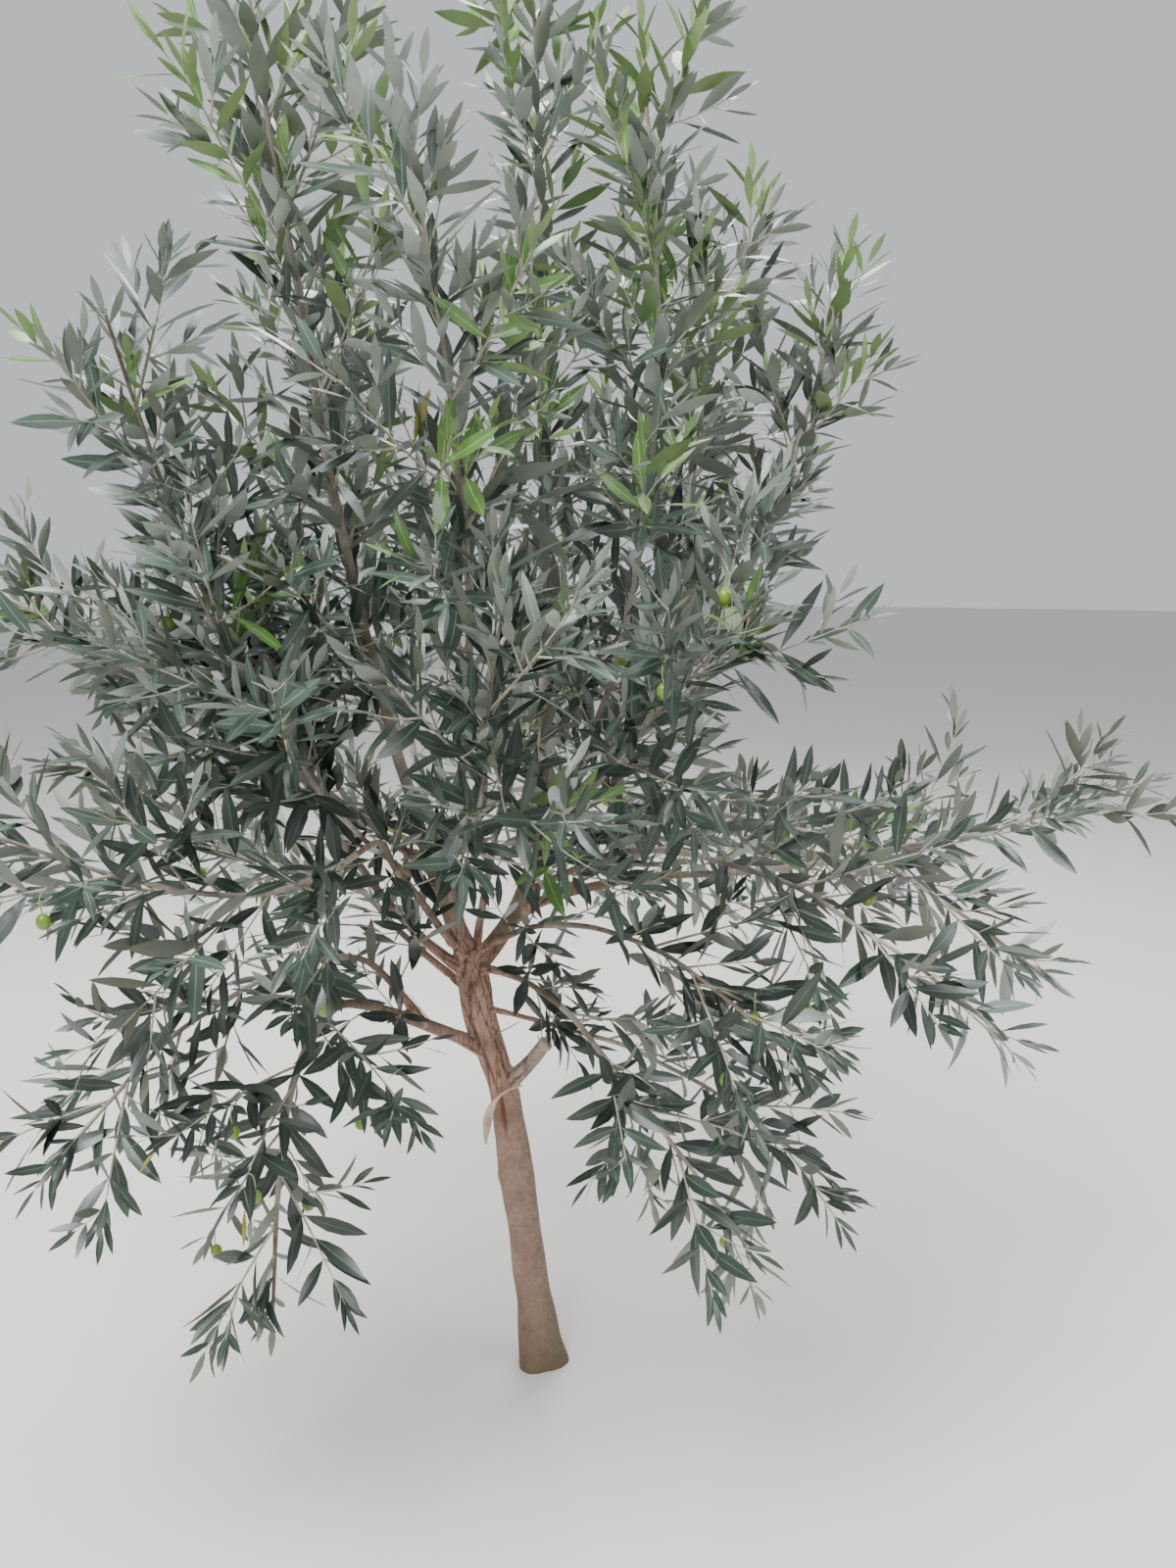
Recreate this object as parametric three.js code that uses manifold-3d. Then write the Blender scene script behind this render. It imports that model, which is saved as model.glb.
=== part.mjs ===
// A young olive tree, rooted in the ground: one leaning trunk, its boughs, and masses of leafy twigs.
// Millimetres, +Z up. The origin is on the ground in the middle of the trunk's foot, X runs to the
// right of the tree's front and Y to its back. Each bough grows from a short collar on what bears it,
// and each mass of twigs from the tip of its own bough, with a gap of 0.3 mm at both joints.

import * as THREE from "three";
import { mergeVertices } from "three/addons/utils/BufferGeometryUtils.js";
import Module from "manifold-3d";

const wasm = await Module();
wasm.setup();

// Trunk: how far it leans and shifts to the left, and its radius at heights above the ground.
const TRUNK_HEIGHT = 640;
const TRUNK_LEAN = 0.118;
const TRUNK_BEND = 22;
const TRUNK_BEND_FROM = 400;
const TRUNK_BEND_TO = 560;
const FORK_HEIGHT = 590;
const TRUNK_RADII = [
  [0, 37],
  [30, 32],
  [100, 25.5],
  [200, 23.5],
  [295, 25],
  [350, 23],
  [455, 20],
  [520, 22],
  [590, 24],
  [622, 19],
  [TRUNK_HEIGHT, 11],
];
const ROOT_FLARES = 3;
const ROOT_FLARE_DEPTH = 0.14;
const ROOT_FLARE_FADE = 55;
const ROOT_FLARE_TURN = 0.5;

// Joints between pieces, and the course of a limb: the share of its length for which it keeps its
// first direction, and the upward share above which a direction counts as steep.
const GAP = 0.3;
const BOW = 0.45;
const STEM_LEAD = 12;
const STEEP = 0.8;
const LEAST_COLLAR = 28;
const COLLAR_STEP = 4;
const COLLAR_ROOM = 1.5;

// Faces round a limb, and steps along it.
const LIMB_POINTS = 20;
const TRUNK_SIDES = 12;
const TRUNK_STEPS = 14;
const TRUNK_RING_CROWDING = 1.15;
const BOUGH_SIDES = 6;
const BOUGH_STEP = 70;
const STEM_SIDES = 4;
const STEM_STEP = 150;
const STALK_SIDES = 3;

// Twigs and leaves. A leaf here stands for a spray of the tree's own, which are about 75 mm long.
const STEM_TIP_RADIUS = 3;
const TWIG_RADIUS = 2;
const TWIG_FIRST = 0.1;
const TWIG_SHORTEST = 0.75;
const TWIG_VARIATION = 0.4;
const TURN_STEP = 137.5;
const TURN_JITTER = 50;
const TWIG_ANGLE_AT_FOOT = 62;
const TWIG_ANGLE_AT_TIP = 30;
const TWIG_SHARE_AT_TIP = 0.45;
const LEAF_LENGTH = 148;
const LEAF_WIDTH = 39;
const LEAF_THICKNESS = 2.4;
const LEAF_ANGLE = 42;
const LEAF_ROLL = 70;
const LEAF_SINK = 0.9;
const LEAF_PAIR_STEP = 66;
const LAST_PAIR_PLACE = 22;
const LEAF_BARE_SHARE = 0.32;
const OLIVE_RADIUS = 8.5;
const OLIVE_STALK = 24;
const STALK_RADIUS = 1.2;

// Room kept round each mass: how much nearer a twig stays to its own stem than to any other stem, and
// how far it stays from the bark of a limb.
const ROOM = 7;
const LIMB_ROOM = 7;

// The boughs: what bears each and how far along it, the heading (0 is +X, 90 is +Y) and the slope in
// which it sets out, its tip, and its diameters at the foot and the tip.
const BOUGHS = [
  { name: "left", from: "trunk", at: 612, heads: [215, 66], tip: [-150, -85, 830], girth: [28, 16] },
  { name: "front", from: "left", at: 90, heads: [300, 75], tip: [-90, -110, 870], girth: [16, 11] },
  { name: "front_mid", from: "front", at: 95, heads: [280, 35], tip: [-85, -175, 815], girth: [8, 6] },
  { name: "left_mid", from: "left", at: 150, heads: [190, 40], tip: [-225, -75, 830], girth: [12, 9] },
  { name: "left_inner", from: "left", at: 120, heads: [232, 28], tip: [-195, -165, 815], girth: [9, 7] },
  { name: "left_upper", from: "trunk", at: 588, heads: [198, 36], tip: [-200, -50, 715], girth: [16, 11] },
  { name: "left_front", from: "trunk", at: 604, heads: [236, 48], tip: [-165, -270, 850], girth: [12, 8] },
  { name: "left_low", from: "trunk", at: 476, heads: [205, 35], tip: [-245, -120, 601], girth: [20, 12] },
  { name: "left_fork", from: "left_low", at: 120, heads: [215, 62], tip: [-215, -80, 640], girth: [12, 9] },
  { name: "centre", from: "trunk", at: 600, heads: [8, 40], tip: [5, 15, 850], girth: [27, 17] },
  { name: "right_upper", from: "centre", at: 190, heads: [340, 55], tip: [65, -15, 905], girth: [13, 10] },
  { name: "right_high", from: "centre", at: 225, heads: [10, 40], tip: [110, 18, 900], girth: [13, 10] },
  { name: "right_inner", from: "centre", at: 160, heads: [300, 45], tip: [40, -75, 825], girth: [9, 7] },
  { name: "right_front", from: "centre", at: 125, heads: [320, 30], tip: [95, -110, 790], girth: [12, 9] },
  { name: "right_mid", from: "centre", at: 175, heads: [345, 30], tip: [145, -45, 820], girth: [12, 9] },
  { name: "right_far", from: "centre", at: 100, heads: [8, 22], tip: [230, 20, 730], girth: [15, 10] },
  { name: "right_near", from: "trunk", at: 618, heads: [322, 35], tip: [-5, -135, 700], girth: [11, 8] },
  { name: "right_low", from: "trunk", at: 604, heads: [325, 8], tip: [15, -125, 610], girth: [11, 8] },
  { name: "right_under", from: "trunk", at: 545, heads: [335, 2], tip: [50, -70, 535], girth: [9, 7] },
  { name: "stub", from: "trunk", at: 424, heads: [0, 50], tip: [11, -35, 508], girth: [22, 18] },
  { name: "back_left", from: "trunk", at: 600, heads: [120, 58], tip: [-160, 110, 795], girth: [16, 11] },
  { name: "back_right", from: "centre", at: 140, heads: [70, 55], tip: [50, 125, 860], girth: [14, 10] },
  { name: "back_mid", from: "trunk", at: 590, heads: [85, 45], tip: [-70, 170, 755], girth: [13, 10] },
  { name: "back_low_left", from: "trunk", at: 560, heads: [150, 25], tip: [-225, 100, 645], girth: [12, 9] },
  { name: "back_low_right", from: "centre", at: 75, heads: [45, 20], tip: [90, 140, 705], girth: [12, 9] },
];

// The masses of foliage: each grows from the tip of the bough of its name, in the bough's direction
// unless it heads another way, to a tip of its own. Spread is the length of its longest twigs, lift is
// how much they turn up (or, below nought, hang), and olives is how many it bears.
const FIRST_SEED = 18;
const MASSES = [
  { name: "left", tip: [-228, -395, 1602], spread: 195, lift: 0.5, twigs: 10, olives: 0 },
  { name: "front", tip: [-85, -455, 1490], spread: 175, lift: 0.45, twigs: 8, olives: 0 },
  { name: "front_mid", tip: [-20, -430, 1060], spread: 190, lift: 0.2, twigs: 7, olives: 1 },
  { name: "left_mid", tip: [-610, -110, 1095], spread: 190, lift: 0.15, twigs: 8, olives: 1 },
  { name: "left_inner", tip: [-330, -350, 1130], spread: 190, lift: 0.25, twigs: 7, olives: 1 },
  { name: "left_upper", tip: [-388, -325, 1320], spread: 210, lift: 0.35, twigs: 9, olives: 1 },
  {
    name: "left_front", heads: [216, -48], tip: [-450, -440, 870],
    spread: 165, lift: 0.1, twigs: 7, olives: 1,
  },
  {
    name: "left_low", heads: [255, -8], tip: [-295, -310, 355],
    spread: 150, lift: -0.3, twigs: 6, olives: 2,
  },
  {
    name: "left_fork", heads: [208, 8], tip: [-500, -320, 520],
    spread: 165, lift: -0.2, twigs: 7, olives: 1,
  },
  { name: "centre", tip: [5, -50, 1760], spread: 195, lift: 0.5, twigs: 10, olives: 0 },
  { name: "right_upper", tip: [130, -190, 1620], spread: 185, lift: 0.5, twigs: 9, olives: 0 },
  { name: "right_high", tip: [350, -110, 1430], spread: 130, lift: 0.4, twigs: 7, olives: 1 },
  { name: "right_inner", tip: [215, -330, 1080], spread: 180, lift: 0.2, twigs: 7, olives: 1 },
  {
    name: "right_front", heads: [325, 15], tip: [430, -340, 715],
    spread: 160, lift: 0, twigs: 6, olives: 1,
  },
  {
    name: "right_mid", heads: [350, 12], tip: [550, -200, 710],
    spread: 160, lift: 0.1, twigs: 6, olives: 1,
  },
  { name: "right_far", tip: [760, 10, 840], spread: 170, lift: 0.5, twigs: 8, olives: 0 },
  {
    name: "right_near", heads: [322, 25], tip: [250, -350, 660],
    spread: 175, lift: -0.1, twigs: 7, olives: 1,
  },
  {
    name: "right_low", heads: [308, -15], tip: [205, -315, 445],
    spread: 155, lift: -0.25, twigs: 6, olives: 1,
  },
  {
    name: "right_under", heads: [335, 0], tip: [310, -190, 440],
    spread: 150, lift: -0.15, twigs: 5, olives: 1,
  },
  { name: "back_left", tip: [-340, 290, 1480], spread: 210, lift: 0.4, twigs: 9, olives: 0 },
  { name: "back_right", tip: [240, 320, 1520], spread: 210, lift: 0.4, twigs: 9, olives: 0 },
  { name: "back_mid", tip: [-40, 490, 1170], spread: 200, lift: 0.2, twigs: 8, olives: 1 },
  { name: "back_low_left", tip: [-470, 370, 630], spread: 185, lift: -0.1, twigs: 7, olives: 1 },
  { name: "back_low_right", tip: [410, 410, 660], spread: 185, lift: -0.1, twigs: 7, olives: 1 },
];

// A repeatable run of numbers between 0 and 1.
function drawsOf(seed) {
  let state = seed;
  return () => {
    state = (state * 1664525 + 1013904223) % 4294967296;
    return state / 4294967296;
  };
}

function pointingTo(heading, slope) {
  const turn = THREE.MathUtils.degToRad(heading);
  const rise = THREE.MathUtils.degToRad(slope);
  return new THREE.Vector3(Math.cos(turn) * Math.cos(rise), Math.sin(turn) * Math.cos(rise), Math.sin(rise));
}

// The curve of a limb that leaves in one direction and bends to its tip.
function bentCourse(start, direction, tip) {
  const reach = BOW * start.distanceTo(tip);
  const bend = start.clone().addScaledVector(direction, reach);
  return new THREE.QuadraticBezierCurve3(start, bend, tip);
}

// A run of straight stretches, which a stem follows, so that its twigs start inside it.
class Chain extends THREE.Curve {
  constructor(points) {
    super();
    this.points = points;
  }

  getPoint(share) {
    const place = share * (this.points.length - 1);
    const link = Math.min(Math.floor(place), this.points.length - 2);
    return this.points[link].clone().lerp(this.points[link + 1], place - link);
  }
}

function solidOf(geometry) {
  geometry.deleteAttribute("normal");
  geometry.deleteAttribute("uv");
  const merged = mergeVertices(geometry);
  return new wasm.Manifold(
    new wasm.Mesh({
      numProp: 3,
      vertProperties: merged.attributes.position.array,
      triVerts: new Uint32Array(merged.index.array),
    }),
  );
}

// Joins solids into one body, and drops loose scraps and the walls of hollows that the joining sealed.
function joined(solids) {
  const bodies = wasm.Manifold.union(solids).decompose();
  return bodies.reduce((largest, body) => (body.volume() > largest.volume() ? body : largest));
}

function meshOf(name, solid, material) {
  const made = solid.getMesh();
  const geometry = new THREE.BufferGeometry();
  geometry.setAttribute("position", new THREE.BufferAttribute(new Float32Array(made.vertProperties), 3));
  geometry.setIndex(new THREE.BufferAttribute(new Uint32Array(made.triVerts), 1));
  geometry.computeVertexNormals();
  const mesh = new THREE.Mesh(geometry, material);
  mesh.name = name;
  return mesh;
}

// An upright closed cylinder of radius 1 whose points placeOf moves: it is given each point's share of
// the height, its angle, and its share of the radius, which is 0 in the middle of an end.
function bentCylinder(sides, steps, placeOf) {
  const geometry = new THREE.CylinderGeometry(1, 1, 1, sides, steps).rotateX(Math.PI / 2);
  const position = geometry.attributes.position;
  const point = new THREE.Vector3();
  for (let i = 0; i < position.count; i++) {
    point.fromBufferAttribute(position, i);
    const angle = Math.atan2(point.y, point.x);
    const moved = placeOf(point.z + 0.5, angle, Math.hypot(point.x, point.y));
    position.setXYZ(i, moved.x, moved.y, moved.z);
  }
  return geometry;
}

// Two directions square to a third and to each other.
function sidesOf(direction) {
  const reference = new THREE.Vector3(0, 0, 1);
  if (Math.abs(direction.z) > STEEP) reference.set(0, 1, 0);
  const side = reference.cross(direction).normalize();
  return [side, direction.clone().cross(side)];
}

// A round limb through the middles of its rings, each of which lies square to its own direction.
function limbSolid(middles, directions, sides, radiusAt) {
  const steps = middles.length - 1;
  const normals = [sidesOf(directions[0])[0]];
  for (const direction of directions.slice(1)) {
    normals.push(normals.at(-1).clone().projectOnPlane(direction).normalize());
  }
  return solidOf(
    bentCylinder(sides, steps, (share, angle, radiusShare) => {
      const ring = Math.round(share * steps);
      const other = directions[ring].clone().cross(normals[ring]);
      const radius = radiusAt(ring / steps) * radiusShare;
      return middles[ring]
        .clone()
        .addScaledVector(normals[ring], Math.cos(angle) * radius)
        .addScaledVector(other, Math.sin(angle) * radius);
    }),
  );
}

function trunkAxis(height) {
  const bend = TRUNK_BEND * THREE.MathUtils.smoothstep(height, TRUNK_BEND_FROM, TRUNK_BEND_TO);
  return new THREE.Vector3(-TRUNK_LEAN * height - bend, 0, height);
}

function trunkRadius(height) {
  const above = TRUNK_RADII.findIndex(([level]) => level >= height);
  const [highLevel, highRadius] = TRUNK_RADII[above];
  const [lowLevel, lowRadius] = TRUNK_RADII[Math.max(above - 1, 0)];
  return THREE.MathUtils.mapLinear(height, lowLevel, highLevel + (above === 0), lowRadius, highRadius);
}

// The trunk's rings are level, so its foot is a flat cut at the ground.
function trunkSolid() {
  return solidOf(
    bentCylinder(TRUNK_SIDES, TRUNK_STEPS, (share, angle, radiusShare) => {
      const height = TRUNK_HEIGHT * share ** TRUNK_RING_CROWDING;
      const flare = ROOT_FLARE_DEPTH * Math.exp(-height / ROOT_FLARE_FADE);
      const lobes = 1 + flare * Math.cos(ROOT_FLARES * angle + ROOT_FLARE_TURN);
      const radius = trunkRadius(height) * lobes * radiusShare;
      const out = new THREE.Vector3(Math.cos(angle), Math.sin(angle), 0);
      return trunkAxis(height).addScaledVector(out, radius);
    }),
  );
}

function distanceToPath(point, path) {
  const segment = new THREE.Line3();
  const nearest = new THREE.Vector3();
  let least = Infinity;
  for (let i = 1; i < path.length; i++) {
    segment.set(path[i - 1], path[i]).closestPointToPoint(point, true, nearest);
    least = Math.min(least, nearest.distanceTo(point));
  }
  return least;
}

// Works out each bough's curve, and its collar: the stretch that belongs to what bears it, which ends
// where the bough comes clear of that limb and of the others on it.
function growBoughs() {
  const heights = Array.from({ length: LIMB_POINTS + 1 }, (_, i) => (TRUNK_HEIGHT * i) / LIMB_POINTS);
  const trunk = { name: "trunk", path: heights.map(trunkAxis), radius: trunkRadius(FORK_HEIGHT) };
  const grown = new Map([["trunk", trunk]]);
  for (const bough of BOUGHS) {
    const bearer = grown.get(bough.from);
    const onBough = () => bearer.curve.getPointAt(bough.at / bearer.curve.getLength());
    const start = bearer === trunk ? trunkAxis(bough.at) : onBough();
    const curve = bentCourse(start, pointingTo(...bough.heads), new THREE.Vector3(...bough.tip));
    const radiusAt = (distance) =>
      THREE.MathUtils.mapLinear(distance, 0, curve.getLength(), bough.girth[0] / 2, bough.girth[1] / 2);
    const path = curve.getSpacedPoints(LIMB_POINTS);
    grown.set(bough.name, { ...bough, curve, path, radius: radiusAt(0), radiusAt });
  }
  const limbs = [...grown.values()];
  for (const bough of limbs.slice(1)) {
    const sisters = limbs.filter((limb) => limb.from === bough.from && limb !== bough);
    const near = [grown.get(bough.from), ...sisters];
    const length = bough.curve.getLength();
    const clearAt = (distance) => {
      const point = bough.curve.getPointAt(distance / length);
      const room = bough.radiusAt(distance) + COLLAR_ROOM;
      return near.every((limb) => distanceToPath(point, limb.path) > limb.radius + room);
    };
    bough.collar = length;
    while (bough.collar > LEAST_COLLAR && clearAt(bough.collar - COLLAR_STEP)) bough.collar -= COLLAR_STEP;
  }
  return grown;
}

// The part of a bough between two distances along it.
function boughStretch(bough, from, to) {
  const length = bough.curve.getLength();
  const steps = Math.max(1, Math.round((to - from) / BOUGH_STEP));
  const places = Array.from({ length: steps + 1 }, (_, i) => THREE.MathUtils.lerp(from, to, i / steps));
  const middles = places.map((place) => bough.curve.getPointAt(place / length));
  const directions = places.map((place) => bough.curve.getTangentAt(place / length));
  const radiusAt = (share) => bough.radiusAt(THREE.MathUtils.lerp(from, to, share));
  return limbSolid(middles, directions, BOUGH_SIDES, radiusAt);
}

// A limb with the collars of the boughs that it bears.
function withCollars(name, solid, boughs) {
  const borne = [...boughs.values()].filter((bough) => bough.from === name);
  return joined([solid, ...borne.map((bough) => boughStretch(bough, 0, bough.collar))]);
}

// Works out each mass's stem: it goes on from its bough for a little way before it bends.
function growStems(boughs) {
  return MASSES.map((mass, i) => {
    const bough = boughs.get(mass.name);
    const direction = bough.curve.getTangentAt(1);
    const foot = bough.curve.getPointAt(1).addScaledVector(direction, GAP);
    const start = foot.clone().addScaledVector(direction, STEM_LEAD);
    const leaving = mass.heads ? pointingTo(...mass.heads) : direction;
    const course = bentCourse(start, leaving, new THREE.Vector3(...mass.tip));
    const steps = Math.max(2, Math.round(course.getLength() / STEM_STEP));
    const path = [foot, ...course.getSpacedPoints(steps)];
    return { ...mass, seed: FIRST_SEED + i, path, curve: new Chain(path), footRadius: bough.girth[1] / 2 };
  });
}

function stemSolid(mass) {
  const last = mass.path.length - 1;
  const directions = mass.path.map((point, i) => {
    const before = mass.path[Math.max(i - 1, 0)];
    const after = mass.path[Math.min(i + 1, last)];
    const arriving = point.clone().sub(before).normalize();
    return after.clone().sub(point).normalize().add(arriving).normalize();
  });
  const taper = (share) => THREE.MathUtils.lerp(mass.footRadius, STEM_TIP_RADIUS, share);
  return limbSolid(mass.path, directions, STEM_SIDES, taper);
}

function turnedOff(direction, side, other, turn, angle) {
  return direction
    .clone()
    .multiplyScalar(Math.cos(angle))
    .addScaledVector(side, Math.cos(turn) * Math.sin(angle))
    .addScaledVector(other, Math.sin(turn) * Math.sin(angle));
}

// The twigs of a mass, from the foot of its stem to the tip.
function twigsOf(mass) {
  const draw = drawsOf(mass.seed);
  const twigs = [];
  for (let i = 0; i < mass.twigs; i++) {
    const share = TWIG_FIRST + ((1 - TWIG_FIRST) * (i + draw())) / mass.twigs;
    const turn = THREE.MathUtils.degToRad(TURN_STEP * i + TURN_JITTER * (draw() - 0.5));
    const opening = THREE.MathUtils.lerp(TWIG_ANGLE_AT_FOOT, TWIG_ANGLE_AT_TIP, share);
    const vigour = TWIG_SHORTEST + TWIG_VARIATION * draw();
    const length = mass.spread * vigour * THREE.MathUtils.lerp(1, TWIG_SHARE_AT_TIP, share);
    const along = mass.curve.getTangentAt(share);
    const direction = turnedOff(along, ...sidesOf(along), turn, THREE.MathUtils.degToRad(opening));
    const lastDirection = direction.clone().add(new THREE.Vector3(0, 0, mass.lift)).normalize();
    const start = mass.curve.getPointAt(share);
    const tip = start.clone().addScaledVector(direction.add(lastDirection), length / 2);
    twigs.push(new THREE.LineCurve3(start, tip));
  }
  return twigs;
}

// The leaves of a twig or stem: one at the tip, and pairs behind it, each pair turned from the last.
function leavesOn(curve, bareLength, draw) {
  const length = curve.getLength();
  const tipDirection = curve.getTangentAt(1);
  const leaves = [{ root: curve.getPointAt(1), direction: tipDirection, up: sidesOf(tipDirection)[1] }];
  for (let place = length - LAST_PAIR_PLACE; place > bareLength; place -= LEAF_PAIR_STEP) {
    const along = curve.getTangentAt(place / length);
    const [side, other] = sidesOf(along);
    const pairTurn = (leaves.length * Math.PI) / 6;
    for (const turn of [pairTurn, pairTurn + Math.PI]) {
      const direction = turnedOff(along, side, other, turn, THREE.MathUtils.degToRad(LEAF_ANGLE));
      const roll = THREE.MathUtils.degToRad(LEAF_ROLL) * (draw() - 0.5);
      const up = along.clone().applyAxisAngle(direction, roll);
      leaves.push({ root: curve.getPointAt(place / length), direction, up });
    }
  }
  return leaves;
}

// A leaf is a flat lance-shaped diamond of eight faces, with its root sunk past the middle of its twig.
function leafSolid(leaf) {
  const geometry = new THREE.OctahedronGeometry(1);
  geometry.scale(LEAF_LENGTH / 2, LEAF_WIDTH / 2, LEAF_THICKNESS / 2);
  geometry.translate(LEAF_LENGTH / 2 - LEAF_SINK, 0, 0);
  const across = leaf.up.clone().cross(leaf.direction).normalize();
  const normal = leaf.direction.clone().cross(across);
  geometry.applyMatrix4(new THREE.Matrix4().makeBasis(leaf.direction, across, normal).setPosition(leaf.root));
  return solidOf(geometry);
}

// A twig is a straight three-sided rod.
function twigSolid(twig) {
  const cornerAt = (angle) => new THREE.Vector2(TWIG_RADIUS * Math.cos(angle), TWIG_RADIUS * Math.sin(angle));
  const outline = new THREE.Shape([0, 1, 2].map((corner) => cornerAt((corner * 2 * Math.PI) / 3)));
  const length = twig.getLength();
  const geometry = new THREE.ExtrudeGeometry(outline, { depth: length, bevelEnabled: false });
  const along = twig.getTangent(0);
  const [side, other] = sidesOf(along);
  geometry.applyMatrix4(new THREE.Matrix4().makeBasis(side, other, along).setPosition(twig.v1));
  return solidOf(geometry);
}

// Points along the middle and the edges of a leaf.
function leafPoints(leaf) {
  const across = leaf.up.clone().cross(leaf.direction).normalize();
  const points = [];
  for (const along of [0.15, 0.3, 0.5, 0.75, 1]) {
    const halfWidth = LEAF_WIDTH * Math.min(along, 1 - along);
    for (const offset of [-halfWidth, halfWidth]) {
      const middle = leaf.root.clone().addScaledVector(leaf.direction, along * LEAF_LENGTH);
      points.push(middle.addScaledVector(across, offset));
    }
  }
  return points;
}

function oliveSolids(olive) {
  const fruit = new THREE.IcosahedronGeometry(OLIVE_RADIUS);
  fruit.translate(olive.x, olive.y, olive.z - OLIVE_STALK);
  const stalk = new THREE.CylinderGeometry(STALK_RADIUS, STALK_RADIUS, OLIVE_STALK, STALK_SIDES, 1)
    .rotateX(Math.PI / 2)
    .translate(olive.x, olive.y, olive.z - OLIVE_STALK / 2);
  return [solidOf(fruit), solidOf(stalk)];
}

// Says whether points all lie in a mass's own space: nearer to its stem than to any other, and clear
// of the trunk and boughs.
function spaceOf(mass, stems, limbs) {
  const own = stems.find((stem) => stem.name === mass.name);
  const others = stems.filter((stem) => stem !== own);
  return (points) =>
    points.every((point) => {
      const room = distanceToPath(point, own.path) + ROOM;
      const clearOfMasses = others.every((stem) => distanceToPath(point, stem.path) > room);
      const clearOf = (limb) => distanceToPath(point, limb.path) > limb.radius + LIMB_ROOM;
      return clearOfMasses && limbs.every(clearOf);
    });
}

function massSolid(mass, fits) {
  const pieces = [stemSolid(mass)];
  const blades = [];
  const drawRoll = drawsOf(mass.seed + MASSES.length);
  const addLeaves = (curve, bareLength) => {
    const earlier = [...blades];
    for (const leaf of leavesOn(curve, bareLength, drawRoll)) {
      const blade = leafSolid(leaf);
      const free = earlier.every((other) => blade.intersect(other).isEmpty());
      if (free && fits(leafPoints(leaf))) blades.push(blade);
    }
  };
  addLeaves(mass.curve, mass.curve.getLength() - 2 * LEAF_PAIR_STEP);
  let olives = mass.olives;
  for (const twig of twigsOf(mass)) {
    if (!fits(twig.getPoints(4).slice(1))) continue;
    pieces.push(twigSolid(twig));
    addLeaves(twig, LEAF_BARE_SHARE * twig.getLength());
    const olive = twig.getPoint(0.5);
    const foot = olive.clone().setZ(olive.z - OLIVE_STALK - OLIVE_RADIUS);
    if (olives > 0 && fits([foot])) {
      pieces.push(...oliveSolids(olive));
      olives -= 1;
    }
  }
  return joined([...pieces, ...blades]);
}

const trunkBark = new THREE.MeshStandardMaterial({ color: 0x8c7b68, roughness: 0.92, metalness: 0 });
const boughBark = new THREE.MeshStandardMaterial({ color: 0x7d7466, roughness: 0.88, metalness: 0 });
const foliage = new THREE.MeshStandardMaterial({ color: 0x5c6b52, roughness: 0.55, metalness: 0 });

const boughs = growBoughs();
const stems = growStems(boughs);
const limbs = [...boughs.values()];

const tree = new THREE.Group();
tree.name = "olive_tree";
tree.add(meshOf("trunk", withCollars("trunk", trunkSolid(), boughs), trunkBark));
for (const bough of limbs.slice(1)) {
  const limb = boughStretch(bough, bough.collar + GAP, bough.curve.getLength());
  tree.add(meshOf(`bough_${bough.name}`, withCollars(bough.name, limb, boughs), boughBark));
}
for (const mass of stems) {
  tree.add(meshOf(`leaves_${mass.name}`, massSolid(mass, spaceOf(mass, stems, limbs)), foliage));
}

export default tree;
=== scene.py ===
import math

import bpy
import numpy as np
from mathutils import Matrix, Vector, kdtree, noise


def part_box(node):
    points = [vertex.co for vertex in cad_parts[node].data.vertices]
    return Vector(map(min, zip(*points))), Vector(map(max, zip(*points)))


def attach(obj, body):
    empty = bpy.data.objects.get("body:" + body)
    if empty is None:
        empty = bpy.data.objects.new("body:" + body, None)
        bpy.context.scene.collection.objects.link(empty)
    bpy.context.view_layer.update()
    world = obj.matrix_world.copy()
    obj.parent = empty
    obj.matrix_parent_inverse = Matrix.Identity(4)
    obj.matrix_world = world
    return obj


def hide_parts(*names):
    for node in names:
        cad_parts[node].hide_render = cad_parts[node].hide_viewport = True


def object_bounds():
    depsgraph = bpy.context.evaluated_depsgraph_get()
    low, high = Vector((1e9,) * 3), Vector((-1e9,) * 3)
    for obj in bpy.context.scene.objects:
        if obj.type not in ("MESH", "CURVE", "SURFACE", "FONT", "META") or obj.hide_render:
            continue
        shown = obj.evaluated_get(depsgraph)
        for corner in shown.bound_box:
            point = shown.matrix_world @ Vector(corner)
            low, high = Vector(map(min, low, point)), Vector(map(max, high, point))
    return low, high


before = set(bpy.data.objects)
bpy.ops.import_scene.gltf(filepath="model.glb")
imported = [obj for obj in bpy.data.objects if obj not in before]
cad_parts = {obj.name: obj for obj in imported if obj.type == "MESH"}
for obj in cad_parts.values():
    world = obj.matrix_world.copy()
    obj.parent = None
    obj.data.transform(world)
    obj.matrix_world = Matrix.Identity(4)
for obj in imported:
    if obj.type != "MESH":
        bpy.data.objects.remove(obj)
cad_low, cad_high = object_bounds()
MM = 0.001

# The view: the tree is looked down on a little by someone standing close in front of it, so that the
# ends of the crown pass the picture's edges. The focal length is in pixels of the 1200 x 1600 picture.
VIEW_PLACE = Vector((67, -1545, 1150)) * MM
VIEW_PITCH = math.radians(-10.7)
VIEW_FOCAL = 1202
VIEW_WIDTH, VIEW_HEIGHT = 1200, 1600
SENSOR = 36

bpy.ops.object.select_all(action="DESELECT")
bpy.ops.object.camera_add(location=VIEW_PLACE, rotation=(math.pi / 2 + VIEW_PITCH, 0, 0))
camera = bpy.context.active_object
camera.data.sensor_width = SENSOR
camera.data.lens = SENSOR * VIEW_FOCAL / VIEW_HEIGHT
bpy.context.scene.camera = camera

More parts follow.
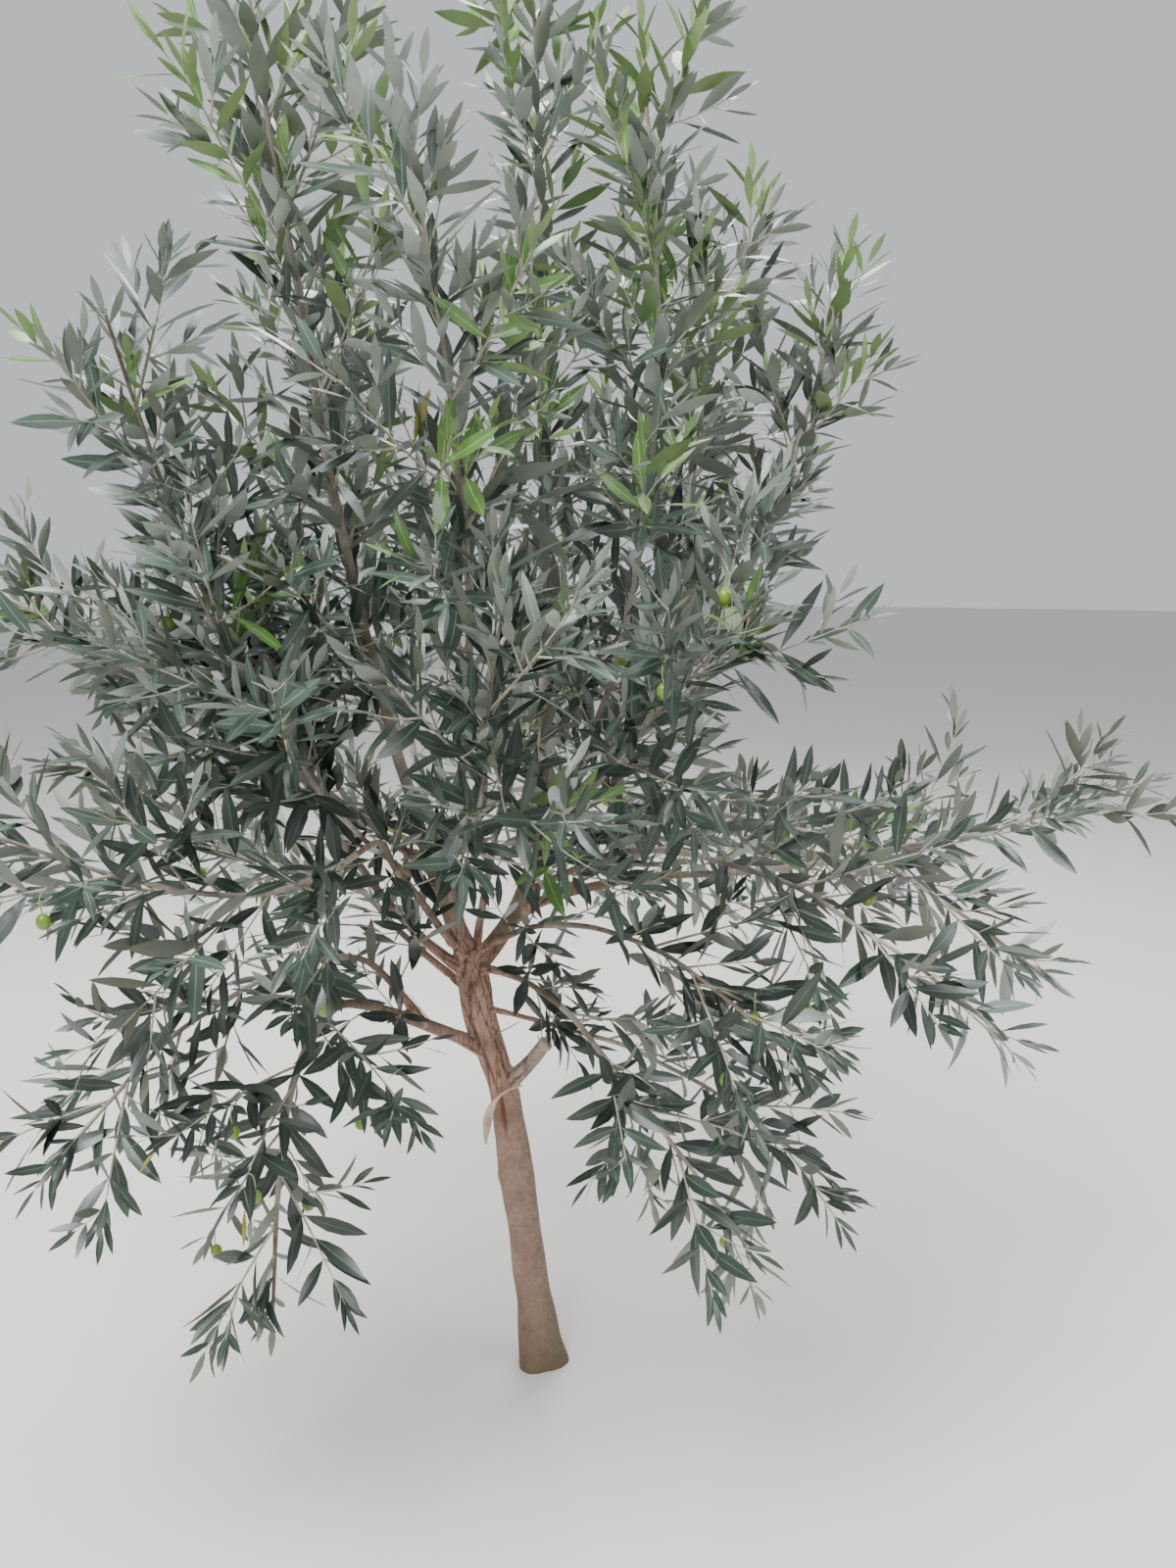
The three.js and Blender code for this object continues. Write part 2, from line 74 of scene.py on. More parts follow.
# The wood: one living piece, a leaning trunk that forks low into slender boughs. Each bough grows from
# the middle of what bears it, swells at its foot and goes on as the stem of a mass of foliage.
TRUNK_HEIGHT = 640 * MM
TRUNK_LEAN = 0.118
TRUNK_BEND = 22 * MM
TRUNK_BEND_FROM, TRUNK_BEND_TO = 400 * MM, 560 * MM
TRUNK_STEP = 10 * MM
BELOW_CUT = 30 * MM
# Heights up the trunk with its radius there, in millimetres.
TRUNK_RADII = [
    (0, 37), (30, 32), (100, 25.5), (200, 23.5), (295, 25), (350, 23),
    (455, 20), (520, 22), (590, 24), (622, 19), (640, 11),
]
ROOT_FLARES = 3
ROOT_FLARE_DEPTH = 0.12
ROOT_FLARE_FADE = 50 * MM
ROOT_FLARE_TURN = 0.5
BOW = 0.45
COURSE_STEPS = 24
STEM_LEAD = 12 * MM
SPRAY_REACH = 70 * MM
LIMB_STEP = 14 * MM
CORNER_ROUNDS = 6
CROOK = 6 * MM
CROOK_LENGTH = 100 * MM
CROOK_SEED = 5
FOOT_SWELL = 0.45
FOOT_SWELL_FADE = 32 * MM
STEM_TIP_RADIUS = 1.8 * MM
WOOD_BEYOND = 45 * MM
SKIN_GRAIN = 2.15 * MM
WOOD_CREASE = math.radians(50)

# Each bough: name, what bears it, how far along that, heading and slope, tip, and width at foot and tip.
BOUGHS = [
    ("left", "trunk", 612, (215, 66), (-150, -85, 830), (28, 16)),
    ("front", "left", 90, (300, 75), (-90, -110, 870), (16, 11)),
    ("front_mid", "front", 95, (280, 35), (-85, -175, 815), (8, 6)),
    ("left_mid", "left", 150, (190, 40), (-225, -75, 830), (12, 9)),
    ("left_inner", "left", 120, (232, 28), (-195, -165, 815), (9, 7)),
    ("left_upper", "trunk", 588, (198, 36), (-200, -50, 715), (16, 11)),
    ("left_front", "trunk", 604, (236, 48), (-165, -270, 850), (12, 8)),
    ("left_low", "trunk", 476, (205, 35), (-245, -120, 601), (20, 12)),
    ("left_fork", "left_low", 120, (215, 62), (-215, -80, 640), (12, 9)),
    ("centre", "trunk", 600, (8, 40), (5, 15, 850), (27, 17)),
    ("right_upper", "centre", 190, (340, 55), (65, -15, 905), (13, 10)),
    ("right_high", "centre", 225, (10, 40), (110, 18, 900), (13, 10)),
    ("right_inner", "centre", 160, (300, 45), (40, -75, 825), (9, 7)),
    ("right_front", "centre", 125, (320, 30), (95, -110, 790), (12, 9)),
    ("right_mid", "centre", 175, (345, 30), (145, -45, 820), (12, 9)),
    ("right_far", "centre", 100, (8, 22), (230, 20, 730), (15, 10)),
    ("right_near", "trunk", 618, (322, 35), (-5, -135, 700), (11, 8)),
    ("right_low", "trunk", 604, (325, 8), (15, -125, 610), (11, 8)),
    ("right_under", "trunk", 545, (335, 2), (50, -70, 535), (9, 7)),
    ("stub", "trunk", 424, (0, 50), (11, -35, 508), (22, 18)),
    ("back_left", "trunk", 600, (120, 58), (-160, 110, 795), (16, 11)),
    ("back_right", "centre", 140, (70, 55), (50, 125, 860), (14, 10)),
    ("back_mid", "trunk", 590, (85, 45), (-70, 170, 755), (13, 10)),
    ("back_low_left", "trunk", 560, (150, 25), (-225, 100, 645), (12, 9)),
    ("back_low_right", "centre", 75, (45, 20), (90, 140, 705), (12, 9)),
]
# Each mass: the heading and slope of its stem where they aren't its bough's, the stem's tip, how far its
# twigs spread, how much they turn up, and their number.
MASSES = {
    "left": (None, (-228, -395, 1602), 195, 0.5, 10),
    "front": (None, (-85, -455, 1490), 175, 0.45, 8),
    "front_mid": (None, (-20, -430, 1060), 190, 0.2, 7),
    "left_mid": (None, (-610, -110, 1095), 190, 0.15, 8),
    "left_inner": (None, (-330, -350, 1130), 190, 0.25, 7),
    "left_upper": (None, (-388, -325, 1320), 210, 0.35, 9),
    "left_front": ((216, -48), (-450, -440, 870), 165, 0.1, 7),
    "left_low": ((255, -8), (-295, -310, 355), 150, -0.3, 6),
    "left_fork": ((208, 8), (-500, -320, 520), 165, -0.2, 7),
    "centre": (None, (5, -50, 1760), 195, 0.5, 10),
    "right_upper": (None, (130, -190, 1620), 185, 0.5, 9),
    "right_high": (None, (350, -110, 1430), 130, 0.4, 7),
    "right_inner": (None, (215, -330, 1080), 180, 0.2, 7),
    "right_front": ((325, 15), (430, -340, 715), 160, 0, 6),
    "right_mid": ((350, 12), (550, -200, 710), 160, 0.1, 6),
    "right_far": (None, (760, 10, 840), 170, 0.5, 8),
    "right_near": ((322, 25), (250, -350, 660), 175, -0.1, 7),
    "right_low": ((308, -15), (205, -315, 445), 155, -0.25, 6),
    "right_under": ((335, 0), (310, -190, 440), 150, -0.15, 5),
    "back_left": (None, (-340, 290, 1480), 210, 0.4, 9),
    "back_right": (None, (240, 320, 1520), 210, 0.4, 9),
    "back_mid": (None, (-40, 490, 1170), 200, 0.2, 8),
    "back_low_left": (None, (-470, 370, 630), 185, -0.1, 7),
    "back_low_right": (None, (410, 410, 660), 185, -0.1, 7),
}


def eased(value, low, high):
    """0 below low, 1 above high and a smooth change between, for one number or an array."""
    share = np.clip((value - low) / (high - low), 0, 1)
    return share * share * (3 - 2 * share)


def trunk_axis(height):
    bend = TRUNK_BEND * float(eased(height, TRUNK_BEND_FROM, TRUNK_BEND_TO))
    return Vector((-TRUNK_LEAN * height - bend, 0, height))


def pointing_to(heading, slope):
    turn, rise = math.radians(heading), math.radians(slope)
    return Vector((math.cos(turn) * math.cos(rise), math.sin(turn) * math.cos(rise), math.sin(rise)))


def arc(start, bend, tip, steps):
    """A curve from start to tip that a third point pulls to its side."""
    shares = [step / steps for step in range(steps + 1)]
    return [start * (1 - at) ** 2 + bend * 2 * at * (1 - at) + tip * at ** 2 for at in shares]


def bent_course(start, direction, tip, steps=COURSE_STEPS):
    """A limb that leaves in one direction and bends to its tip."""
    return arc(start, start + direction * BOW * (tip - start).length, tip, steps)


def length_of(path):
    return sum((after - before).length for before, after in zip(path, path[1:]))


def along(path, distance):
    """The point and the direction at a distance along a path."""
    for before, after in zip(path, path[1:]):
        link = (after - before).length
        if distance <= link or after is path[-1]:
            direction = (after - before).normalized()
            return before + direction * distance, direction
        distance -= link


def stretch(path, start, end, step=LIMB_STEP):
    """The part of a path between two distances, as points at even steps."""
    links = max(2, round((end - start) / step))
    return [along(path, start + (end - start) * link / links)[0] for link in range(links + 1)]


def rounded(path):
    """The path with its corners worn round."""
    for _ in range(CORNER_ROUNDS):
        middles = [(before + point * 2 + after) / 4 for before, point, after in zip(path, path[1:], path[2:])]
        path = [path[0], *middles, path[-1]]
    return path


def crooked(path, seed):
    """The path with the small bends that wood has, and its ends where they were."""
    last = len(path) - 1
    bent = []
    for step, point in enumerate(path):
        sway = noise.noise_vector(point / CROOK_LENGTH + Vector((seed, 0, 0)))
        bent.append(point + sway * CROOK * math.sin(math.pi * step / last))
    return bent


trunk_rings = int((TRUNK_HEIGHT + BELOW_CUT) / TRUNK_STEP)
heights = [-BELOW_CUT + TRUNK_STEP * ring for ring in range(trunk_rings + 1)]
levels, level_radii = zip(*TRUNK_RADII)
trunk_radii = np.interp(heights, np.array(levels) * MM, np.array(level_radii) * MM)

# Each limb of the wood is its path and the radii along it. Each stem is the path of its free part, the
# radius at its foot, the part that bears twigs, and the outer part of its bough.
noise.seed_set(CROOK_SEED)
limbs = {"trunk": ([trunk_axis(height) for height in heights], trunk_radii)}
stems = {}


def root_on(bearer, at):
    """The point at which a limb or shoot grows from the middle of what bears it."""
    return trunk_axis(at * MM) if bearer == "trunk" else along(limbs[bearer][0], at * MM)[0]


for number, (name, bearer, at, heads, tip, girth) in enumerate(BOUGHS):
    whole = bent_course(root_on(bearer, at), pointing_to(*heads), Vector(tip) * MM)
    bough_end = wood_end = length_of(whole)
    marks = [0, bough_end]
    mark_radii = [width / 2 * MM for width in girth]
    if name in MASSES:
        stem_heads, stem_tip = MASSES[name][:2]
        ahead = (whole[-1] - whole[-2]).normalized()
        leaving = pointing_to(*stem_heads) if stem_heads else ahead
        stem = bent_course(whole[-1] + ahead * STEM_LEAD, leaving, Vector(stem_tip) * MM)
        ending = (stem[-1] - stem[-2]).normalized()
        whole += [*stem, stem[-1] + ending * SPRAY_REACH]
        wood_end = bough_end + WOOD_BEYOND
        marks.append(length_of(whole))
        mark_radii.append(STEM_TIP_RADIUS)
    path = crooked(rounded(stretch(whole, 0, length_of(whole))), number)
    wood_path = stretch(path, 0, wood_end)
    distances = np.linspace(0, wood_end, len(wood_path))
    swell = 1 + FOOT_SWELL * np.exp(-distances / FOOT_SWELL_FADE)
    limbs[name] = (wood_path, np.interp(distances, marks, mark_radii) * swell)
    if name in MASSES:
        free_from = wood_end - WOOD_BEYOND / 3
        free_part = stretch(path, free_from, length_of(path))
        bearing_part = stretch(path, bough_end, length_of(path) - SPRAY_REACH)
        outer_bough = stretch(path, bough_end / 2, bough_end)
        stems[name] = (free_part, np.interp(free_from, marks, mark_radii), bearing_part, outer_bough)


def select_only(*objects):
    bpy.ops.object.select_all(action="DESELECT")
    for thing in objects:
        thing.select_set(True)
    bpy.context.view_layer.objects.active = objects[0]


def limb_piece(name, path, radii):
    """A round limb with closed ends."""
    curve = bpy.data.curves.new(name, "CURVE")
    curve.dimensions = "3D"
    curve.bevel_depth = 1
    curve.bevel_resolution = 5
    curve.use_fill_caps = True
    spline = curve.splines.new("POLY")
    spline.points.add(len(path) - 1)
    for point, place, radius in zip(spline.points, path, radii):
        point.co = (*place, 1)
        point.radius = radius
    piece = bpy.data.objects.new(name, curve)
    bpy.context.collection.objects.link(piece)
    select_only(piece)
    bpy.ops.object.convert(target="MESH")
    return bpy.context.active_object


def apply_modifier(piece, kind, **settings):
    select_only(piece)
    modifier = piece.modifiers.new(kind.lower(), kind)
    for setting, value in settings.items():
        setattr(modifier, setting, value)
    bpy.ops.object.modifier_apply(modifier=modifier.name)


limb_pieces = [limb_piece(name, *limb) for name, limb in limbs.items()]
select_only(*limb_pieces)
bpy.ops.object.join()
wood = bpy.context.active_object
wood.name = "wood"
apply_modifier(wood, "REMESH", mode="VOXEL", voxel_size=SKIN_GRAIN, adaptivity=0)
apply_modifier(wood, "SMOOTH", factor=0.5, iterations=5)

# The bark's relief: smooth low down with faint lumps, and above the wound split into long plates with
# deep cracks between. Old knots stand out of it, and a torn wound lies open under the stub. The trunk is
# fissured from a height up, a bough near its foot, and further out a bough is grey, darkened as painted
# shade inside the crown, and the stub pale.
FISSURED_FROM, FISSURED_FULL = 385 * MM, 455 * MM
FISSURE_REACH = 110 * MM
GREY_FROM, GREY_FULL = 75 * MM, 150 * MM
GREY_SOONER = 68 * MM
PALE_FROM, PALE_FULL = 6 * MM, 26 * MM
CRACK_WIDTH, CRACK_LENGTH = 10 * MM, 70 * MM
CRACK_COURSE = (0.7, 0.5, 0.5)
CRACK_DEPTH = 1.5 * MM
CRACK_EDGE = 0.15
LIMBS_APART = 3.7
PLATE_SPREAD = 0.55
PLATES_APART = 11
PLATE_HEIGHT = 0.9 * MM
LUMP_SIZE = (26 * MM, 26 * MM, 60 * MM)
LUMP_HEIGHT = 0.08
WRINKLE_SIZE = 5 * MM
WRINKLE_HEIGHT = 0.16 * MM
# Each knot: middle, radius and height in millimetres. It stands up in a ring round a sunken eye.
KNOTS = [
    ((-63, -10, 292), 13, 3.5), ((-26, -22, 300), 9, 1.6), ((-20, -14, 181), 8, 1.3),
    ((-29, 6, 676), 11, 4.5), ((-75, -18, 520), 11, 2.5), ((-96, -24, 566), 14, 3),
    ((-52, 20, 470), 12, 3), ((-60, 21, 350), 10, 2.2), ((-118, -40, 650), 9, 2.5),
]
KNOT_NARROWNESS = 2
EYE_SHARE, EYE_NARROWNESS = 0.75, 14
WOUND_MIDDLE = Vector((-51, -22, 396)) * MM
WOUND_LEAN = 0.12
WOUND_FACING = -0.2
WOUND_WIDTH, WOUND_HEIGHT, WOUND_DEPTH = 3.8 * MM, 32 * MM, 3.2 * MM
WOUND_ROUGHNESS = 1 * MM
BREAK_LENGTH = 12 * MM
BREAK_RAGGEDNESS = 3.5 * MM
# The right side of the wood, where specks of lichen darken it as painted shade.
SHADED_FROM, SHADED_FULL = 0.15, 0.9
SHADED_SHARE = 0.75


def limb_frames(points):
    """For each point: its nearest limb's number, how far along that it is, its offset and the radius."""
    count = len(points)
    least = np.full(count, np.inf)
    number, distance, girth = np.zeros(count), np.zeros(count), np.zeros(count)
    offset = np.zeros((count, 3))
    for limb, (path, radii) in enumerate(limbs.values()):
        done = 0
        for before, after, start_radius, end_radius in zip(path, path[1:], radii, radii[1:]):
            link = np.array(after - before)
            length = np.linalg.norm(link)
            foot = np.array(before)
            share = np.clip((points - foot) @ link / length ** 2, 0, 1)
            out = points - foot - share[:, None] * link
            radius = start_radius + share * (end_radius - start_radius)
            gap = np.linalg.norm(out, axis=1) - radius
            nearer = gap < least
            least[nearer] = gap[nearer]
            number[nearer] = limb
            distance[nearer] = done + share[nearer] * length
            offset[nearer] = out[nearer]
            girth[nearer] = radius[nearer]
            done += length
    return number, distance, offset, girth


def noise_at(places):
    return np.array([noise.noise(place) for place in places.tolist()])


def vertex_vectors(mesh, kind):
    values = np.empty(len(mesh.vertices) * 3, np.float32)
    mesh.vertices.foreach_get(kind, values)
    return values.reshape(-1, 3).astype(float)


points = vertex_vectors(wood.data, "co")
normals = vertex_vectors(wood.data, "normal")
number, distance, offset, girth = limb_frames(points)
height = points[:, 2]
on_trunk = number == 0
bough_fade = 1 - eased(distance, FISSURE_REACH / 3, FISSURE_REACH)
fissured = eased(height, FISSURED_FROM, FISSURED_FULL) * np.where(on_trunk, 1, bough_fade)

grain = offset / CRACK_WIDTH + (distance / CRACK_LENGTH)[:, None] * np.array(CRACK_COURSE)
grain[:, 2] += number * LIMBS_APART
cracks = 1 - np.clip(np.abs(noise_at(grain)) / CRACK_EDGE, 0, 1)
plates = noise_at(grain * PLATE_SPREAD + PLATES_APART)
lumps = noise_at(points / np.array(LUMP_SIZE))
wrinkles = noise_at(points / WRINKLE_SIZE)
relief = fissured * (plates * PLATE_HEIGHT - cracks * CRACK_DEPTH)
relief += lumps * LUMP_HEIGHT * girth + wrinkles * WRINKLE_HEIGHT
for middle, radius, knot_height in KNOTS:
    spread = np.linalg.norm(points - np.array(middle) * MM, axis=1) / (radius * MM)
    swelling = np.exp(-(spread ** 2) * KNOT_NARROWNESS)
    eye = EYE_SHARE * np.exp(-(spread ** 2) * EYE_NARROWNESS)
    relief += (swelling - eye) * knot_height * MM
from_wound = points - np.array(WOUND_MIDDLE)
across_wound = (from_wound[:, 0] + WOUND_LEAN * from_wound[:, 2]) / WOUND_WIDTH
up_wound = from_wound[:, 2] / WOUND_HEIGHT
wound = np.exp(-((across_wound ** 2 + up_wound ** 2) ** 2)) * (normals[:, 1] < WOUND_FACING)
relief -= wound * (WOUND_DEPTH + wrinkles * WOUND_ROUGHNESS)
# Boughs turn grey along their length, and the grey is darker as painted shade inside the crown.
sooner = GREY_SOONER * (number == list(limbs).index("centre"))
weathered_and_shaded = ~on_trunk * eased(distance + sooner, GREY_FROM, GREY_FULL)
on_stub = number == list(limbs).index("stub")
stub_end = length_of(limbs["stub"][0])
broken = on_stub * eased(distance, stub_end - BREAK_LENGTH, stub_end - BREAK_LENGTH / 3)
relief += broken * wrinkles * BREAK_RAGGEDNESS
flare = ROOT_FLARE_DEPTH * np.exp(-np.maximum(height, 0) / ROOT_FLARE_FADE) * on_trunk
lobes = flare * np.cos(ROOT_FLARES * np.arctan2(offset[:, 1], offset[:, 0]) + ROOT_FLARE_TURN)
relief += lobes * girth
points += normals * relief[:, None]
wood.data.vertices.foreach_set("co", points.astype(np.float32).ravel())
masks = {
    "fissured": fissured,
    "crack": cracks * fissured,
    "wound": wound,
    "broken": broken,
    "weathered_and_shaded": weathered_and_shaded,
    "shaded": SHADED_SHARE * eased(offset[:, 0] / girth, SHADED_FROM, SHADED_FULL),
    "pale": on_stub * eased(distance, PALE_FROM, PALE_FULL),
}
for name, values in masks.items():
    mask = wood.data.attributes.new(name, "FLOAT", "POINT")
    mask.data.foreach_set("value", np.asarray(values, np.float32))

select_only(wood)
bpy.ops.object.mode_set(mode="EDIT")
bpy.ops.mesh.select_all(action="SELECT")
bpy.ops.mesh.bisect(plane_co=(0, 0, 0), plane_no=(0, 0, 1), use_fill=True, clear_inner=True)
bpy.ops.object.mode_set(mode="OBJECT")
bpy.ops.object.shade_smooth_by_angle(angle=WOOD_CREASE)


def new_group(name, inputs, outputs):
    """An empty node group with named sockets, its inputs given as kind and value."""
    group = bpy.data.node_groups.new(name, "ShaderNodeTree")
    for socket, (kind, value) in inputs.items():
        made = group.interface.new_socket(socket, in_out="INPUT", socket_type="NodeSocket" + kind)
        made.default_value = value
    for socket, kind in outputs.items():
        group.interface.new_socket(socket, in_out="OUTPUT", socket_type="NodeSocket" + kind)
    return group, group.nodes.new("NodeGroupInput"), group.nodes.new("NodeGroupOutput")


def feed(tree, socket, value):
    """Joins a node's input to another node's output, or sets it to a value."""
    if isinstance(value, bpy.types.NodeSocket):
        tree.links.new(value, socket)
    else:
        socket.default_value = value


def node(tree, kind, settings=None, **inputs):
    """A node with its settings, and with its inputs set to values or joined to sockets."""
    made = tree.nodes.new("ShaderNode" + kind)
    for setting, value in (settings or {}).items():
        setattr(made, setting, value)
    usable = {socket.name: socket for socket in made.inputs if socket.enabled}
    for name, value in inputs.items():
        feed(tree, usable[name.replace("_", " ")], value)
    return made


def math_node(tree, operation, *values):
    """The result of a sum whose values are numbers or sockets."""
    made = node(tree, "Math", {"operation": operation})
    for socket, value in zip(made.inputs, values):
        feed(tree, socket, value)
    return made.outputs["Value"]


def mixed(tree, share, first, second):
    """Two colours mixed by a share."""
    mix = node(tree, "Mix", {"data_type": "RGBA"}, Factor=share, A=first, B=second)
    return next(socket for socket in mix.outputs if socket.enabled)


def remapped(tree, value, start, end, low=0.0, high=1.0):
    """A value that is low at start and high at end."""
    made = node(tree, "MapRange", Value=value, From_Min=start, From_Max=end, To_Min=low, To_Max=high)
    return made.outputs["Result"]


def noise_in(tree, place, size, detail, roughness):
    made = node(tree, "TexNoise", Vector=place, Scale=size, Detail=detail, Roughness=roughness)
    return made.outputs["Fac"]


def srgb(red, green, blue):
    """A colour as it looks on a screen, from 0 to 255, as the light that it sends back."""
    lights = [value / 255 for value in (red, green, blue)]
    linear = [light / 12.92 if light < 0.04045 else ((light + 0.055) / 1.055) ** 2.4 for light in lights]
    return (*linear, 1)


# Bark: blotches of lichen and weather over a base colour, a grain that stands out a little, and dark
# furrows that run up the wood where it is old. Each size of a pattern is how often it comes in a metre.
BLOTCH_SIZE = 30.0
BLOTCH_FROM, BLOTCH_FULL = 0.42, 0.66
FIBRE_FROM, FIBRE_FULL = 0.3, 0.75
FIBRE_DARK, FIBRE_LIGHT = 0.72, 1.12
FIBRE_HEIGHT = 1.2 * MM
FURROW_SIZE, FURROW_STRETCH = 110.0, 0.14
FURROW_CORE, FURROW_EDGE = 0.008, 0.04
FURROW_SHADE = 0.55
BARK_SMOOTHEST, BARK_ROUGHEST = 0.72, 0.98

bark_group, bark_in, bark_out = new_group(
    "Bark",
    {
        "Base": ("Color", srgb(150, 130, 112)),
        "Blotch": ("Color", srgb(120, 104, 90)),
        "Blotch Size": ("Float", BLOTCH_SIZE),
        "Grain Size": ("Float", 260.0),
        "Grain Stretch": ("Vector", (1, 1, 0.28)),
        "Grain Depth": ("Float", 0.4),
        "Furrows": ("Float", 0.0),
    },
    {"Color": "Color", "Roughness": "Float", "Normal": "Vector"},
)
place = node(bark_group, "TexCoord").outputs["Object"]
blotches = noise_in(bark_group, place, bark_in.outputs["Blotch Size"], detail=5.0, roughness=0.62)
blotch_share = remapped(bark_group, blotches, BLOTCH_FROM, BLOTCH_FULL)
grain_stretch = bark_in.outputs["Grain Stretch"]
stretched = node(bark_group, "Mapping", Vector=place, Scale=grain_stretch).outputs["Vector"]
fibres = noise_in(bark_group, stretched, bark_in.outputs["Grain Size"], detail=4.0, roughness=0.7)
streaked = mixed(bark_group, blotch_share, bark_in.outputs["Base"], bark_in.outputs["Blotch"])
fibre_share = remapped(bark_group, fibres, FIBRE_FROM, FIBRE_FULL, FIBRE_DARK, FIBRE_LIGHT)
upward = node(bark_group, "Mapping", Vector=place, Scale=(1, 1, FURROW_STRETCH)).outputs["Vector"]
waves = noise_in(bark_group, upward, FURROW_SIZE, detail=2.0, roughness=0.5)
from_line = math_node(bark_group, "ABSOLUTE", math_node(bark_group, "SUBTRACT", waves, 0.5))
line = remapped(bark_group, from_line, FURROW_CORE, FURROW_EDGE, 1.0, 0.0)
furrows = math_node(bark_group, "MULTIPLY", line, bark_in.outputs["Furrows"])
furrow_shade = math_node(bark_group, "MULTIPLY_ADD", furrows, -FURROW_SHADE, 1.0)
shade = math_node(bark_group, "MULTIPLY", fibre_share, furrow_shade)
shaded = node(bark_group, "VectorMath", {"operation": "SCALE"}, Vector=streaked, Scale=shade)
bark_group.links.new(shaded.outputs["Vector"], bark_out.inputs["Color"])
rough = remapped(bark_group, fibres, 0.0, 1.0, BARK_SMOOTHEST, BARK_ROUGHEST)
bark_group.links.new(rough, bark_out.inputs["Roughness"])
bark_height = math_node(bark_group, "SUBTRACT", fibres, furrows)
bump = node(
    bark_group, "Bump", Strength=bark_in.outputs["Grain Depth"], Distance=FIBRE_HEIGHT, Height=bark_height
)
bark_group.links.new(bump.outputs["Normal"], bark_out.inputs["Normal"])


def new_material(name, group, **values):
    """A material whose colour, roughness and normal come from a group, and its tree, group and shader."""
    material = bpy.data.materials.new(name)
    material.use_nodes = True
    tree = material.node_tree
    shader = tree.nodes["Principled BSDF"]
    skin = tree.nodes.new("ShaderNodeGroup")
    skin.node_tree = group
    for socket, value in values.items():
        skin.inputs[socket.replace("_", " ")].default_value = value
    for effect, socket in (("Color", "Base Color"), ("Roughness", "Roughness"), ("Normal", "Normal")):
        tree.links.new(skin.outputs[effect], shader.inputs[socket])
    return material, tree, skin, shader


def attribute(tree, name):
    return node(tree, "Attribute", {"attribute_name": name}).outputs["Fac"]


def bark_colour(tree, base, blotch, furrows, blotch_size=BLOTCH_SIZE):
    """The colour of another kind of bark in the same material."""
    bark = tree.nodes.new("ShaderNodeGroup")
    bark.node_tree = bark_group
    bark.inputs["Base"].default_value = base
    bark.inputs["Blotch"].default_value = blotch
    bark.inputs["Furrows"].default_value = furrows
    bark.inputs["Blotch Size"].default_value = blotch_size
    return bark.outputs["Color"]


# The wood's colours: reddish where it is fissured, grey on the boughs and darker there as painted shade,
# pale on the stub and where it broke, dark in the cracks and the wound, with specks of lichen on the right
# side, where they are also painted shade, and brown at the foot.
LICHEN_SIZE = 150.0
LICHEN_FROM, LICHEN_FULL = 0.42, 0.6
BROWN_REACH = 160 * MM
BROWN_SHARE = 0.8
WOOD_SHINE = 0.25

wood_bark, tree, skin, shader = new_material(
    "wood bark", bark_group, Base=srgb(170, 140, 123), Blotch=srgb(142, 117, 102), Grain_Size=200.0,
    Grain_Stretch=(1.0, 1.0, 0.8),
)
reddish = bark_colour(tree, srgb(194, 157, 138), srgb(156, 125, 108), furrows=1.0)
# Grey bark of the boughs, darker as painted shade inside the crown.
greyed_and_shaded = bark_colour(tree, srgb(148, 133, 115), srgb(108, 96, 82), furrows=0.4)
pale_wood = bark_colour(tree, srgb(184, 163, 152), srgb(138, 119, 109), furrows=0.5, blotch_size=60.0)
wood_place = node(tree, "TexCoord").outputs["Object"]
speckle = noise_in(tree, wood_place, LICHEN_SIZE, detail=4.0, roughness=0.7)
speckled = remapped(tree, speckle, LICHEN_FROM, LICHEN_FULL)
# Specks of lichen, kept to the right side, where they are painted shade.
lichen_and_shade = math_node(tree, "MULTIPLY", speckled, attribute(tree, "shaded"))
colour = mixed(tree, lichen_and_shade, skin.outputs["Color"], srgb(108, 101, 90))
for name, other in (
    ("fissured", reddish),
    ("weathered_and_shaded", greyed_and_shaded),
    ("pale", pale_wood),
    ("crack", srgb(92, 68, 57)),
    ("wound", srgb(114, 76, 56)),
    ("broken", srgb(192, 172, 157)),
):
    colour = mixed(tree, attribute(tree, name), colour, other)
foot_height = node(tree, "SeparateXYZ", Vector=wood_place).outputs["Z"]
browned = remapped(tree, foot_height, 0.0, BROWN_REACH, BROWN_SHARE, 0.0)
colour = mixed(tree, browned, colour, srgb(94, 83, 62))
tree.links.new(colour, shader.inputs["Base Color"])
shader.inputs["Specular IOR Level"].default_value = WOOD_SHINE
wood.data.materials.clear()
wood.data.materials.append(wood_bark)
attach(wood, "root")
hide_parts("trunk", *[f"bough_{name}" for name, *_ in BOUGHS])
wood_places = kdtree.KDTree(len(wood.data.vertices))
for vertex in wood.data.vertices:
    wood_places.insert(vertex.co, vertex.index)
wood_places.balance()

# The torn bark: when the limb over the wound broke, two strips of its bark tore down and dried. They
# hang in front of the trunk from the crotch of the stub, curled and pale. Each is a course and widths.
STRIPS = [
    ([(-22, -22, 438), (-42, -28, 436), (-60, -33, 423), (-71, -35, 408), (-75, -34, 384), (-75, -30, 352)],
     (3, 3, 4, 8, 10, 4)),
    ([(-52, -29, 430), (-62, -32, 418), (-67, -33, 402), (-70, -32, 384), (-71, -30, 368)], (3, 5, 7, 6, 2)),
]
STRIP_THICKNESS = 0.9 * MM
STRIP_CURL = 0.45

